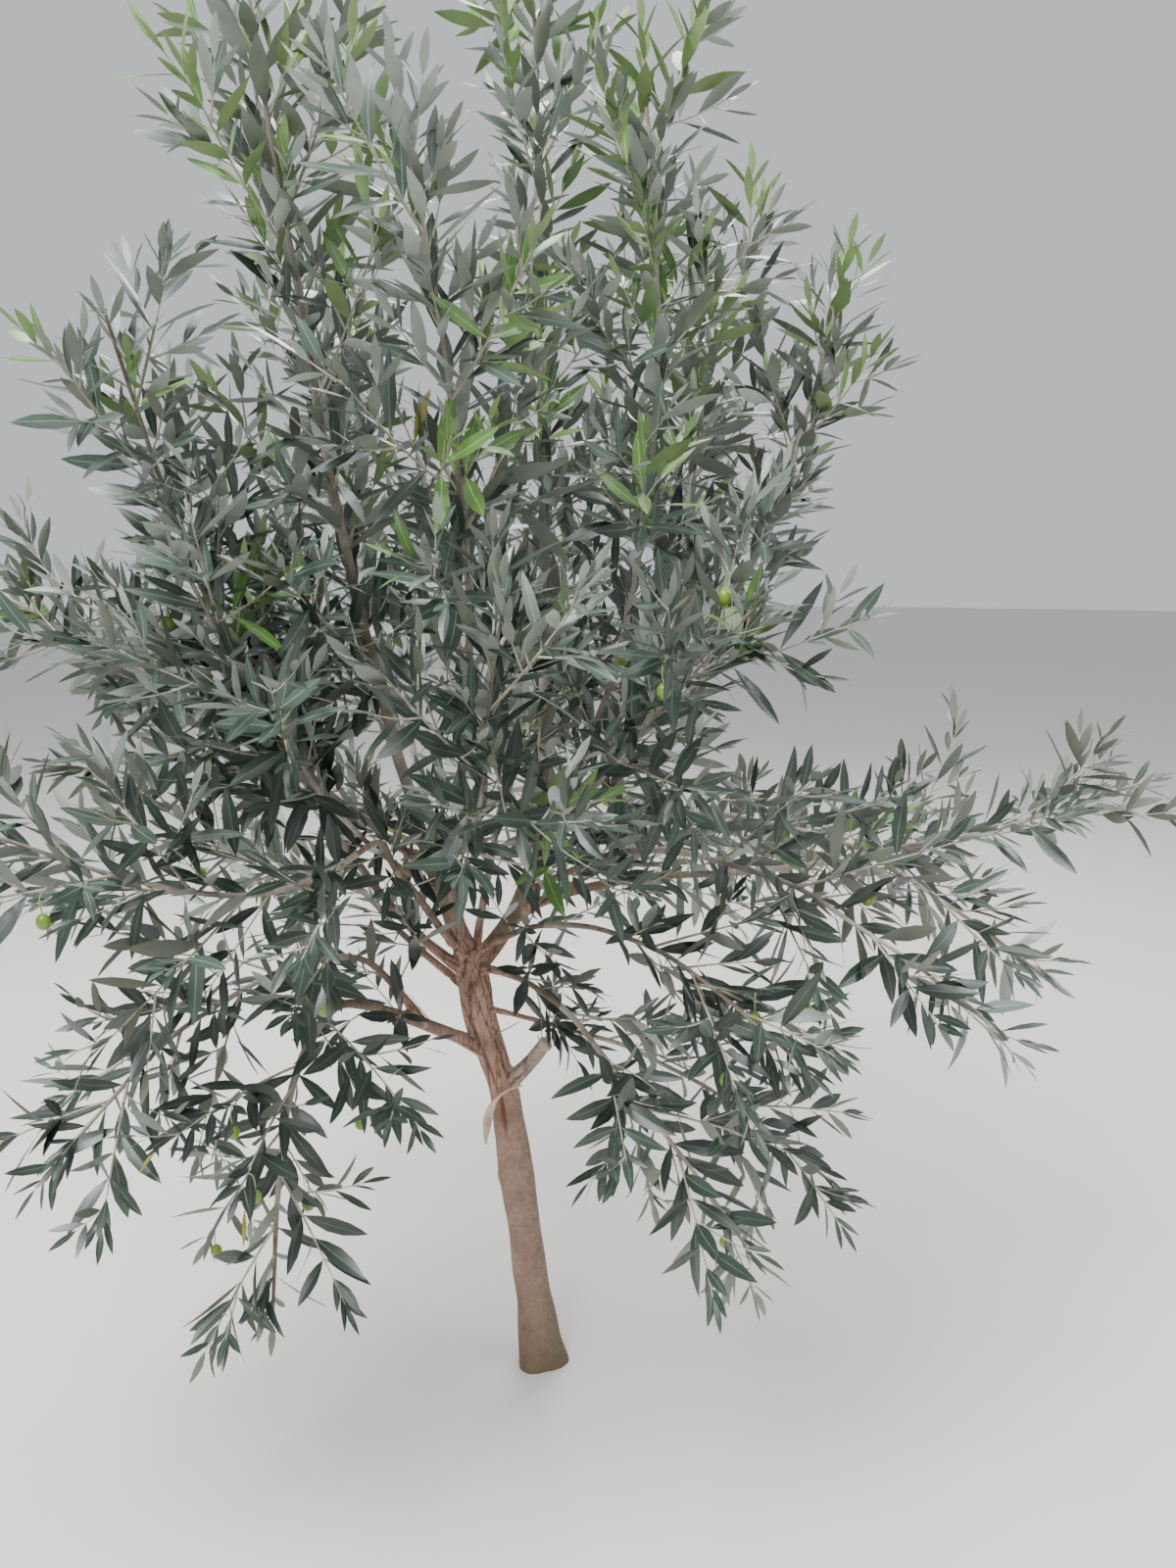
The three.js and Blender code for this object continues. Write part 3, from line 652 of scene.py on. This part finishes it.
strip_pieces = []
for course, widths in STRIPS:
    steps = len(course) - 1
    bpy.ops.object.select_all(action="DESELECT")
    bpy.ops.mesh.primitive_grid_add(x_subdivisions=4, y_subdivisions=steps, size=1)
    strip = bpy.context.active_object
    for vertex in strip.data.vertices:
        step = round((vertex.co.y + 0.5) * steps)
        point = Vector(course[step]) * MM
        ahead = (Vector(course[min(step + 1, steps)]) - Vector(course[max(step - 1, 0)])).normalized()
        side = ahead.cross(Vector((0, -1, 0))).normalized()
        width = widths[step] * MM
        curl = STRIP_CURL * width * (2 * vertex.co.x) ** 2
        vertex.co = point + side * vertex.co.x * width + ahead.cross(side) * curl
    apply_modifier(strip, "SOLIDIFY", thickness=STRIP_THICKNESS, offset=0)
    apply_modifier(strip, "SUBSURF", levels=2, render_levels=2)
    strip_pieces.append(strip)
select_only(*strip_pieces)
bpy.ops.object.join()
strips = bpy.context.active_object
strips.name = "torn_bark"
bpy.ops.object.shade_smooth()
strips.data.materials.append(
    new_material("torn bark", bark_group, Base=srgb(230, 208, 190), Blotch=srgb(184, 154, 134))[0]
)
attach(strips, "root")

# The twigs: each stem bears twigs by a seeded rule, and the twigs bear finer shoots by the same rule.
# A few small shoots, most of them bare, grow on the old wood. Wood of the year is pale.
STEEP = 0.8
FIRST_SEED = 18
FINE_SEED = 101
TWIG_FIRST = 0.1
TWIG_SHORTEST, TWIG_VARIATION = 0.75, 0.4
TURN_STEP, TURN_JITTER = 137.5, 50
TWIG_ANGLE_AT_FOOT, TWIG_ANGLE_AT_TIP = 62, 30
TWIG_SHARE_AT_TIP = 0.45
TWIG_STEPS = 7
SHOOT_SPACING = 36 * MM
SHOOT_SHARE = 0.55
SHOOT_LIFT = 0.35
STEM_SHOOT_SPACING = 37 * MM
STEM_SHOOT_LENGTH = 135 * MM
BOUGH_SHOOTS = 5
BOUGH_SHOOT_LENGTH = 115 * MM
TWIG_RADIUS, SHOOT_RADIUS, SHOOT_TIP_RADIUS = 1.9 * MM, 1.3 * MM, 0.6 * MM
REACH_SPARE = 25 * MM
TWIG_CLEAR = 5 * MM
FOOT_POINTS = 2
FINE_CREASE = math.radians(75)
# The crown has fewer shoots low down, and fewer towards the right.
SPARSE_AT, FULL_AT = 400 * MM, 1120 * MM
SPARSE_SHARE = 0.32
THIN_FROM, THIN_FULL = 150 * MM, 650 * MM
THIN_SHARE = 0.55
# Each small shoot: what bears it, how far along, its heading and slope, its length, and if it has leaves.
SMALL_SHOOTS = [
    ("stub", 106, (60, 72), 78, True),
    ("stub", 104, (10, 40), 26, False),
    ("stub", 99, (200, 62), 20, False),
    ("trunk", 500, (345, 22), 58, False),
    ("left", 62, (25, 72), 115, False),
    ("left", 74, (40, 64), 85, False),
    ("centre", 96, (320, -48), 85, False),
    ("left_low", 96, (150, 35), 62, False),
]
# The factor, step and range of the rule that gives repeatable draws.
DRAW_FACTOR, DRAW_STEP, DRAW_RANGE = 1664525, 1013904223, 2 ** 32


def draws_of(seed):
    """A repeatable run of numbers between 0 and 1."""
    state = seed

    def draw():
        nonlocal state
        state = (state * DRAW_FACTOR + DRAW_STEP) % DRAW_RANGE
        return state / DRAW_RANGE

    return draw


def blend(first, second, share):
    return first + (second - first) * share


def sides_of(direction):
    """Two directions square to a third and to each other."""
    reference = Vector((0, 1, 0)) if abs(direction.z) > STEEP else Vector((0, 0, 1))
    side = reference.cross(direction).normalized()
    return side, direction.cross(side)


def turned_off(direction, turn, angle):
    side, other = sides_of(direction)
    out = side * math.cos(turn) + other * math.sin(turn)
    return direction * math.cos(angle) + out * math.sin(angle)


def twig_course(start, direction, lift, length):
    """A twig that leaves in one direction and turns up or hangs."""
    last_direction = (direction + Vector((0, 0, lift))).normalized()
    bend = start + direction * length / 2
    return arc(start, bend, bend + last_direction * length / 2, TWIG_STEPS)


def side_twigs(path, count, spread, lift, longer, draw):
    """The twigs that a stem or twig bears, from its foot to its tip."""
    whole = length_of(path)
    twigs = []
    for twig in range(count):
        share = TWIG_FIRST + (1 - TWIG_FIRST) * (twig + draw()) / count
        turn = math.radians(TURN_STEP * twig + TURN_JITTER * (draw() - 0.5))
        opening = math.radians(blend(TWIG_ANGLE_AT_FOOT, TWIG_ANGLE_AT_TIP, share))
        vigour = TWIG_SHORTEST + TWIG_VARIATION * draw()
        length = spread * vigour * blend(1, TWIG_SHARE_AT_TIP, share) + longer
        start, ahead = along(path, whole * share)
        twigs.append(twig_course(start, turned_off(ahead, turn, opening), lift, length))
    return twigs


def clear_of_wood(point):
    return wood_places.find(point)[2] > TWIG_CLEAR


def reach_of(mass):
    """What says whether a point lies within the space of a mass and clear of the wood."""
    low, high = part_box(f"leaves_{mass}")
    spare = Vector((1, 1, 1)) * REACH_SPARE

    def within(point):
        inside = all(a <= b <= c for a, b, c in zip(low - spare, point, high + spare))
        return inside and clear_of_wood(point)

    return within


# Each shoot is its path, its radius at foot and tip, its kind and what says where its leaves may grow.
STEM, TWIG, FINE, BARE = range(4)
shoots = []


def add_fine_shoots(paths, within):
    for path in paths:
        if all(within(point) for point in path[FOOT_POINTS:]):
            shoots.append((path, SHOOT_RADIUS, SHOOT_TIP_RADIUS, FINE, within))


for number, (name, (_, _, spread, lift, count)) in enumerate(MASSES.items()):
    free_part, foot_radius, bearing_part, outer_bough = stems[name]
    within = reach_of(name)
    shoots.append((free_part, foot_radius, STEM_TIP_RADIUS, STEM, within))
    fine_draw = draws_of(FINE_SEED + number)
    stem_tip = bearing_part[-1]
    fullness = blend(SPARSE_SHARE, 1, float(eased(stem_tip.z, SPARSE_AT, FULL_AT)))
    fullness *= blend(1, THIN_SHARE, float(eased(stem_tip.x, THIN_FROM, THIN_FULL)))
    short_count = round(fullness * length_of(bearing_part) / STEM_SHOOT_SPACING)
    add_fine_shoots(side_twigs(bearing_part, short_count, STEM_SHOOT_LENGTH, lift, 0, fine_draw), within)
    inner = side_twigs(outer_bough, BOUGH_SHOOTS, BOUGH_SHOOT_LENGTH, lift, 0, fine_draw)
    add_fine_shoots(inner, clear_of_wood)
    draw = draws_of(FIRST_SEED + number)
    for path in side_twigs(bearing_part, count, spread * MM, lift, SPRAY_REACH, draw):
        if not all(within(point) for point in path[FOOT_POINTS:]):
            continue
        shoots.append((path, TWIG_RADIUS, SHOOT_TIP_RADIUS, TWIG, within))
        length = length_of(path)
        fine_count = round(fullness * length / SHOOT_SPACING)
        add_fine_shoots(side_twigs(path, fine_count, length * SHOOT_SHARE, SHOOT_LIFT, 0, fine_draw), within)

for bearer, at, heads, length, leafy in SMALL_SHOOTS:
    path = twig_course(root_on(bearer, at), pointing_to(*heads), SHOOT_LIFT, length * MM)
    shoots.append((path, SHOOT_RADIUS, SHOOT_TIP_RADIUS, FINE if leafy else BARE, clear_of_wood))


def tube_mesh(runs, sides):
    """The points and faces of closed tubes, each given as its path and its radius at foot and tip."""
    points, faces = [], []
    for path, foot_radius, tip_radius in runs:
        first = len(points)
        last = len(path) - 1
        side = sides_of((path[1] - path[0]).normalized())[0]
        for step, place in enumerate(path):
            ahead = (path[min(step + 1, last)] - path[max(step - 1, 0)]).normalized()
            side = (side - ahead * side.dot(ahead)).normalized()
            other = ahead.cross(side)
            radius = blend(foot_radius, tip_radius, step / last)
            for corner in range(sides):
                turn = math.tau * corner / sides
                points.append(place + (side * math.cos(turn) + other * math.sin(turn)) * radius)
        for step in range(last):
            ring = first + step * sides
            for corner in range(sides):
                beside = (corner + 1) % sides
                faces.append((ring + corner, ring + beside, ring + sides + beside, ring + sides + corner))
        faces.append(tuple(first + corner for corner in reversed(range(sides))))
        faces.append(tuple(first + last * sides + corner for corner in range(sides)))
    return points, faces


def tube_piece(name, runs, sides, material):
    mesh = bpy.data.meshes.new(name)
    points, faces = tube_mesh(runs, sides)
    mesh.from_pydata(points, [], faces)
    mesh.materials.append(material)
    piece = bpy.data.objects.new(name, mesh)
    bpy.context.collection.objects.link(piece)
    select_only(piece)
    bpy.ops.object.shade_smooth_by_angle(angle=FINE_CREASE)
    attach(piece, "root")
    return piece


stem_bark = new_material(
    "stem bark", bark_group, Base=srgb(184, 174, 161), Blotch=srgb(112, 98, 86), Blotch_Size=9.0
)[0]
shoot_bark = new_material(
    "shoot bark", bark_group, Base=srgb(194, 188, 168), Blotch=srgb(158, 152, 130), Blotch_Size=20.0
)[0]
for name, kinds, sides, material in (
    ("stems", (STEM,), 8, stem_bark),
    ("twigs", (TWIG,), 5, shoot_bark),
    ("shoots", (FINE, BARE), 4, shoot_bark),
):
    runs = [(path, foot, tip) for path, foot, tip, kind, _ in shoots if kind in kinds]
    tube_piece(name, runs, sides, material)

# The leaves: leathery blades in pairs up every shoot, each pair square to the last and smaller towards
# the tip, dark grey-green above with a pale midrib, and silvery beneath.
LEAF_LENGTH, LEAF_LENGTH_VARIATION = 75 * MM, 0.35
LEAF_WIDTH_SHARE = 0.22
LEAF_THICKNESS = 0.5 * MM
LEAF_DROOP = (-0.03, 0.17)
LEAF_FOLD = (-0.2, 0.45)
LEAF_SICKLE = (-0.04, 0.04)
LEAF_TWIST = (-0.6, 0.6)
PAIR_SPACING_LOW, PAIR_SPACING_HIGH = 30 * MM, 24 * MM
CLOSE_PAIRS, CLOSE_SHARE = 3, 0.7
LAST_PAIR_PLACE = 11 * MM
LAST_LEAF_SIZE, PAIR_GROWTH = 0.5, 0.18
LAST_PAIR_OPENING, PAIR_OPENING_GROWTH = 0.55, 0.15
PAIR_TURN_JITTER = 0.6
LEAF_BARE_SHARE = {STEM: 0.25, TWIG: 0.14, FINE: 0.12}
LEAF_ANGLE, LEAF_ANGLE_VARIATION = 52, 28
LEAF_ROLL = 80
SKYWARD = 0.8
LEAF_CLEAR = 3 * MM
# Stations along a leaf: how far along, its half width and the rib's, as shares.
STATIONS = [
    (0.06, 0.12, 0.09), (0.22, 0.64, 0.08), (0.44, 1.0, 0.07), (0.68, 0.88, 0.055), (0.88, 0.42, 0.04),
]
SECTION_POINTS = 5
UPPER, UNDER, RIB = range(3)
VARIANTS = 12
MOST_IN_PIECE = 3800
# Most shoots are paler the higher they end, as painted light from above and painted shade low in the crown,
# and their tone also differs by chance. The youngest pairs of some are fresh green, most of them at the top,
# where the green is also painted light shining through the leaves. A few leaves lower down have turned
# yellow.
TONES = ("deep", "mid", "pale")
TONE_BY_HEIGHT, TONE_BY_CHANCE = 0.4, 0.64
FRESH_LOW, FRESH_AND_LIT_HIGH, FRESH_AND_LIT_RISE = 0.008, 0.8, 5
YOUNG_PAIRS = 5
YELLOW_BELOW = 0.7
YELLOW_LEAVES = 7
YELLOW_CHANCE = 0.012
TONE_SEED, SHAPE_SEED = 7, 5


def leaf_points(draw):
    """One leaf's points along +X with its upper side to +Z, for a length of 1."""
    droop = blend(*LEAF_DROOP, draw())
    fold = blend(*LEAF_FOLD, draw())
    sickle = blend(*LEAF_SICKLE, draw())
    twist = blend(*LEAF_TWIST, draw())
    thick = LEAF_THICKNESS / LEAF_LENGTH / 2
    points = [Vector((0, 0, 0))]
    for at, half, rib in STATIONS:
        middle = Vector((at, sickle * math.sin(math.pi * at), -droop * at * at))
        turn = Matrix.Rotation(twist * at, 3, "X")
        edge = half * LEAF_WIDTH_SHARE / 2
        rib_edge = rib * LEAF_WIDTH_SHARE / 2
        raised = fold * edge
        section = [(-edge, raised), (-rib_edge, thick), (rib_edge, thick), (edge, raised), (0, -thick)]
        points += [middle + turn @ Vector((0, across, lift)) for across, lift in section]
    points.append(Vector((1, 0, -droop)))
    return np.array([tuple(point) for point in points])


def leaf_faces():
    """The faces of a leaf, each with its side. Both sides are split the same way, so they never cross."""
    strips = ((0, 1, UPPER), (1, 2, RIB), (2, 3, UPPER), (4, 0, UNDER), (3, 4, UNDER))
    faces = [((0, 1 + second, 1 + first), side) for first, second, side in strips]
    for station in range(len(STATIONS) - 1):
        low = 1 + station * SECTION_POINTS
        high = low + SECTION_POINTS
        for first, second, side in strips:
            corners = (low + first, low + second, high + second, high + first)
            faces.append((corners[1:] + corners[:1] if side == UNDER else corners, side))
    last = 1 + (len(STATIONS) - 1) * SECTION_POINTS
    tip = last + SECTION_POINTS
    faces += [((last + first, last + second, tip), side) for first, second, side in strips]
    return faces


def leaf_pairs(path, bare_length, spacing, draw):
    """The leaves of a shoot: root, direction, the side that it turns up, its size and its pair."""
    length = length_of(path)
    tip, tip_direction = along(path, length)
    leaves = [(tip, tip_direction, sides_of(tip_direction)[1], LAST_LEAF_SIZE, 0)]
    pair = 0
    place = length - LAST_PAIR_PLACE
    while place > bare_length:
        root, ahead = along(path, place)
        size = min(1, LAST_LEAF_SIZE + PAIR_GROWTH * pair)
        opening = LEAF_ANGLE * min(1, LAST_PAIR_OPENING + PAIR_OPENING_GROWTH * pair)
        first_turn = math.pi / 2 * pair + PAIR_TURN_JITTER * (draw() - 0.5)
        for turn in (first_turn, first_turn + math.pi):
            angle = math.radians(opening + LEAF_ANGLE_VARIATION * (draw() - 0.5))
            direction = turned_off(ahead, turn, angle)
            up = ahead + Vector((0, 0, SKYWARD))
            up.rotate(Matrix.Rotation(math.radians(LEAF_ROLL) * (draw() - 0.5), 3, direction))
            varied = size * (1 + LEAF_LENGTH_VARIATION * (draw() - 0.5))
            leaves.append((root, direction, up, varied, pair))
        place -= spacing * blend(CLOSE_SHARE, 1, min(1, pair / CLOSE_PAIRS))
        pair += 1
    return leaves


tone_draw = draws_of(TONE_SEED)
leaves = {tone: [] for tone in (*TONES, "young", "yellow")}
for path, _, _, kind, within in shoots:
    if kind == BARE:
        continue
    bare = LEAF_BARE_SHARE[kind] * length_of(path)
    height = (path[-1].z - cad_low.z) / (cad_high.z - cad_low.z)
    # Higher shoots get paler tones as painted light from above and painted shade below; the rest is chance.
    tone_number = int(len(TONES) * (TONE_BY_HEIGHT * height + TONE_BY_CHANCE * tone_draw()))
    tone = TONES[min(len(TONES) - 1, tone_number)]
    # Young shoots grow likelier with height, their fresh green partly painted light shining through the top
    # leaves.
    fresh_and_lit = tone_draw() < FRESH_LOW + FRESH_AND_LIT_HIGH * height ** FRESH_AND_LIT_RISE
    spacing = blend(PAIR_SPACING_LOW, PAIR_SPACING_HIGH, height)
    for root, direction, up, size, pair in leaf_pairs(path, bare, spacing, tone_draw):
        tip = root + direction * LEAF_LENGTH * size
        if within(tip) and wood_places.find(root.lerp(tip, 0.5))[2] > LEAF_CLEAR:
            leaf_tone = "young" if fresh_and_lit and pair < YOUNG_PAIRS else tone
            leaves[leaf_tone].append((root, direction, up, size))
    turning = len(leaves["yellow"]) < YELLOW_LEAVES and height < YELLOW_BELOW
    if turning and leaves[tone] and tone_draw() < YELLOW_CHANCE:
        leaves["yellow"].append(leaves[tone].pop())

# Leaf skin: a colour that drifts a little over the plant, with a fine grain that roughens and raises it.
DRIFT_SIZE = 17.0
DRIFT_FROM, DRIFT_FULL = 0.3, 0.7
FINE_GRAIN_SIZE = 420.0
FINE_GRAIN_ROUGHNESS = 0.2
FINE_GRAIN_HEIGHT = 0.5 * MM

leaf_group, leaf_in, leaf_out = new_group(
    "Leaf Skin",
    {
        "Base": ("Color", srgb(60, 72, 62)),
        "Shade": ("Float", 0.22),
        "Least Roughness": ("Float", 0.45),
        "Grain Depth": ("Float", 0.25),
    },
    {"Color": "Color", "Roughness": "Float", "Normal": "Vector"},
)
place = node(leaf_group, "TexCoord").outputs["Object"]
drift = noise_in(leaf_group, place, DRIFT_SIZE, detail=3.0, roughness=0.6)
darker = math_node(leaf_group, "SUBTRACT", 1.0, leaf_in.outputs["Shade"])
lighter = math_node(leaf_group, "ADD", 1.0, leaf_in.outputs["Shade"])
tint = remapped(leaf_group, drift, DRIFT_FROM, DRIFT_FULL, darker, lighter)
tinted = node(leaf_group, "VectorMath", {"operation": "SCALE"}, Vector=leaf_in.outputs["Base"], Scale=tint)
leaf_group.links.new(tinted.outputs["Vector"], leaf_out.inputs["Color"])
fine = noise_in(leaf_group, place, FINE_GRAIN_SIZE, detail=3.0, roughness=0.6)
rough = math_node(leaf_group, "MULTIPLY_ADD", fine, FINE_GRAIN_ROUGHNESS, leaf_in.outputs["Least Roughness"])
leaf_group.links.new(rough, leaf_out.inputs["Roughness"])
bump = node(
    leaf_group, "Bump", Strength=leaf_in.outputs["Grain Depth"], Distance=FINE_GRAIN_HEIGHT, Height=fine
)
leaf_group.links.new(bump.outputs["Normal"], leaf_out.inputs["Normal"])

# For each tone, the colours of a leaf's upper side, under side and rib.
LEAF_COLOURS = {
    "deep": (srgb(31, 46, 38), srgb(102, 106, 92), srgb(72, 86, 72)),
    "mid": (srgb(45, 62, 52), srgb(128, 134, 122), srgb(90, 106, 88)),
    "pale": (srgb(67, 85, 74), srgb(168, 175, 168), srgb(118, 134, 116)),
    "young": (srgb(88, 126, 60), srgb(126, 152, 98), srgb(142, 172, 106)),
    "yellow": (srgb(200, 186, 56), srgb(190, 180, 90), srgb(214, 206, 116)),
}
LEAF_SIDES = ("upper", "under", "rib")
LEAF_ROUGHNESS = (0.27, 0.55, 0.4)
LEAF_COAT = (0.35, 0, 0.2)
LEAF_COAT_ROUGHNESS = 0.3

shape_draw = draws_of(SHAPE_SEED)
shapes = np.array([leaf_points(shape_draw) for _ in range(VARIANTS)])
leaf_pattern = leaf_faces()
corner_counts = np.array([len(corners) for corners, _ in leaf_pattern])
pattern_corners = np.concatenate([corners for corners, _ in leaf_pattern])
pattern_sides = np.array([side for _, side in leaf_pattern])


def leaf_piece(name, blades, materials):
    """Many leaves in one mesh, each a shape turned and sized to its own place."""
    count = len(blades)
    roots, ahead, ups = (np.array([tuple(blade[part]) for blade in blades]) for part in range(3))
    sizes = np.array([blade[3] for blade in blades]) * LEAF_LENGTH
    across = np.cross(ups, ahead)
    across /= np.linalg.norm(across, axis=1)[:, None]
    turns = np.stack([ahead, across, np.cross(ahead, across)], axis=2) * sizes[:, None, None]
    chosen = shapes[np.arange(count) % VARIANTS]
    points = np.einsum("nij,nkj->nki", turns, chosen) + roots[:, None, :]
    shape_size = shapes.shape[1]
    corners = pattern_corners[None, :] + shape_size * np.arange(count)[:, None]
    counts = np.tile(corner_counts, count)
    mesh = bpy.data.meshes.new(name)
    mesh.vertices.add(count * shape_size)
    mesh.vertices.foreach_set("co", points.astype(np.float32).ravel())
    mesh.loops.add(corners.size)
    mesh.loops.foreach_set("vertex_index", corners.astype(np.int32).ravel())
    mesh.polygons.add(len(counts))
    starts = np.concatenate([[0], np.cumsum(counts)[:-1]])
    mesh.polygons.foreach_set("loop_start", starts.astype(np.int32))
    for material in materials:
        mesh.materials.append(material)
    mesh.polygons.foreach_set("material_index", np.tile(pattern_sides, count).astype(np.int32))
    mesh.update(calc_edges=True)
    mesh.validate()
    piece = bpy.data.objects.new(name, mesh)
    bpy.context.collection.objects.link(piece)
    select_only(piece)
    bpy.ops.object.shade_smooth_by_angle(angle=FINE_CREASE)
    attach(piece, "root")
    return piece


for tone, blades in leaves.items():
    materials = []
    for side, colour, roughness, coat in zip(LEAF_SIDES, LEAF_COLOURS[tone], LEAF_ROUGHNESS, LEAF_COAT):
        material, _, _, shader = new_material(
            f"leaf {tone} {side}", leaf_group, Base=colour, Least_Roughness=roughness
        )
        shader.inputs["Coat Weight"].default_value = coat
        shader.inputs["Coat Roughness"].default_value = LEAF_COAT_ROUGHNESS
        materials.append(material)
    for part in range(0, len(blades), MOST_IN_PIECE):
        name = f"leaves_{tone}_{part // MOST_IN_PIECE + 1}"
        leaf_piece(name, blades[part:part + MOST_IN_PIECE], materials)
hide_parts(*[f"leaves_{name}" for name in MASSES])

# The olives: green and still hard, each on a thin pale stalk that hangs from a twig. The list says where
# they show in the picture, in pixels across and down, and some more hang behind.
OLIVE_SIGHTS = [
    (347, 1045), (347, 1158), (230, 1172), (312, 1225), (267, 1240), (210, 1262), (62, 940), (222, 590),
    (160, 628), (628, 672), (683, 717), (745, 610), (540, 667), (715, 1108), (748, 1264), (887, 911),
    (780, 1035), (812, 1040),
]
OLIVE_SEED = 3
OLIVE_LENGTH, OLIVE_WIDTH = 18 * MM, 15.5 * MM
OLIVE_SMALLEST, OLIVE_LARGEST = 0.85, 1.1
OLIVE_DROP = 0.47
OLIVE_COAT = 0.2
STALK_LENGTH = 24 * MM
STALK_RADIUS, STALK_SWELL = 0.7 * MM, 1.3
STALK_LEAN = 14 * MM
STALK_SWING, STALK_DIP = 2, 0.2
STALK_STEPS = 5
OLIVES_BEHIND = 16
BEHIND_FROM, BEHIND_BELOW = 50 * MM, 1300 * MM
SIGHT_DEPTH_COST = 0.06

fine_points = []
for path, _, _, kind, _ in shoots:
    if kind in (TWIG, FINE):
        fine_points += path[FOOT_POINTS:-1]


def sight(across, down):
    """The direction in which the viewer sees a pixel."""
    right = (across - VIEW_WIDTH / 2) / VIEW_FOCAL
    up = (VIEW_HEIGHT / 2 - down) / VIEW_FOCAL
    straight = Vector((right, 1, up)).normalized()
    return Matrix.Rotation(VIEW_PITCH, 3, "X") @ straight


def nearest_to_sight(pixel):
    """The place on a twig whose olive would hang nearest to the sight of a pixel, and near the viewer."""
    line = sight(*pixel)

    def cost(point):
        olive = point - Vector((0, 0, STALK_LENGTH + OLIVE_LENGTH / 2)) - VIEW_PLACE
        depth = olive.dot(line)
        return (olive - line * depth).length + SIGHT_DEPTH_COST * depth

    return min(fine_points, key=cost)


olive_draw = draws_of(OLIVE_SEED)
hung_from = [nearest_to_sight(pixel) for pixel in OLIVE_SIGHTS]
rear_points = [point for point in fine_points if point.y > BEHIND_FROM and point.z < BEHIND_BELOW]
hung_from += [rear_points[int(olive_draw() * len(rear_points))] for _ in range(OLIVES_BEHIND)]
stalks, fruits = [], []
for point in hung_from:
    lean = Vector((olive_draw() - 0.5, olive_draw() - 0.5, 0)) * STALK_LEAN
    end = point + lean - Vector((0, 0, STALK_LENGTH))
    leaving = (lean * STALK_SWING - Vector((0, 0, STALK_DIP * STALK_LENGTH))).normalized()
    path = bent_course(point, leaving, end, STALK_STEPS)
    stalks.append((path, STALK_RADIUS, STALK_RADIUS * STALK_SWELL))
    bpy.ops.mesh.primitive_uv_sphere_add(segments=16, ring_count=12, radius=0.5)
    fruit = bpy.context.active_object
    size = blend(OLIVE_SMALLEST, OLIVE_LARGEST, olive_draw())
    fruit.data.transform(Matrix.Diagonal((OLIVE_WIDTH * size, OLIVE_WIDTH * size, OLIVE_LENGTH * size, 1)))
    fruit.data.transform(Matrix.Translation(end - Vector((0, 0, OLIVE_DROP * OLIVE_LENGTH * size))))
    fruits.append(fruit)
select_only(*fruits)
bpy.ops.object.join()
olives = bpy.context.active_object
olives.name = "olives"
bpy.ops.object.shade_smooth()
olive_skin, _, _, shader = new_material(
    "olive skin", leaf_group, Base=srgb(120, 150, 50), Shade=0.12, Least_Roughness=0.2, Grain_Depth=0.1
)
shader.inputs["Coat Weight"].default_value = OLIVE_COAT
olives.data.materials.append(olive_skin)
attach(olives, "root")
stalk_skin = new_material("stalk skin", leaf_group, Base=srgb(170, 178, 124), Least_Roughness=0.5)[0]
tube_piece("olive_stalks", stalks, sides=5, material=stalk_skin)

# The studio: a wide pale floor and soft light from above, like an overcast sky.
FLOOR_RADIUS = 30
FLOOR_ROUGHNESS = 0.9
SKY_STRENGTH = 0.8
LIGHT_AIM = Vector((0, 0, 900)) * MM
# Place, size in metres and power in watts of each soft light.
LIGHTS = [((-1.2, -1.6, 3.9), 2.2, 300), ((2.4, -0.6, 3.4), 1.8, 80), ((0.2, 2.4, 3.6), 2.0, 110)]

bpy.ops.mesh.primitive_circle_add(vertices=64, radius=FLOOR_RADIUS, fill_type="NGON")
floor = bpy.context.active_object
floor.name = "floor"
floor_paint = bpy.data.materials.new("floor paint")
floor_paint.use_nodes = True
floor_shader = floor_paint.node_tree.nodes["Principled BSDF"]
floor_shader.inputs["Base Color"].default_value = srgb(214, 212, 208)
floor_shader.inputs["Roughness"].default_value = FLOOR_ROUGHNESS
floor.data.materials.append(floor_paint)

world = bpy.data.worlds.new("studio")
bpy.context.scene.world = world
world.use_nodes = True
sky = world.node_tree.nodes["Background"]
sky.inputs["Color"].default_value = srgb(234, 237, 241)
sky.inputs["Strength"].default_value = SKY_STRENGTH
for light_place, size, power in LIGHTS:
    aim = (LIGHT_AIM - Vector(light_place)).to_track_quat("-Z", "Y")
    bpy.ops.object.light_add(type="AREA", location=light_place, rotation=aim.to_euler())
    light = bpy.context.active_object
    light.data.size = size
    light.data.energy = power
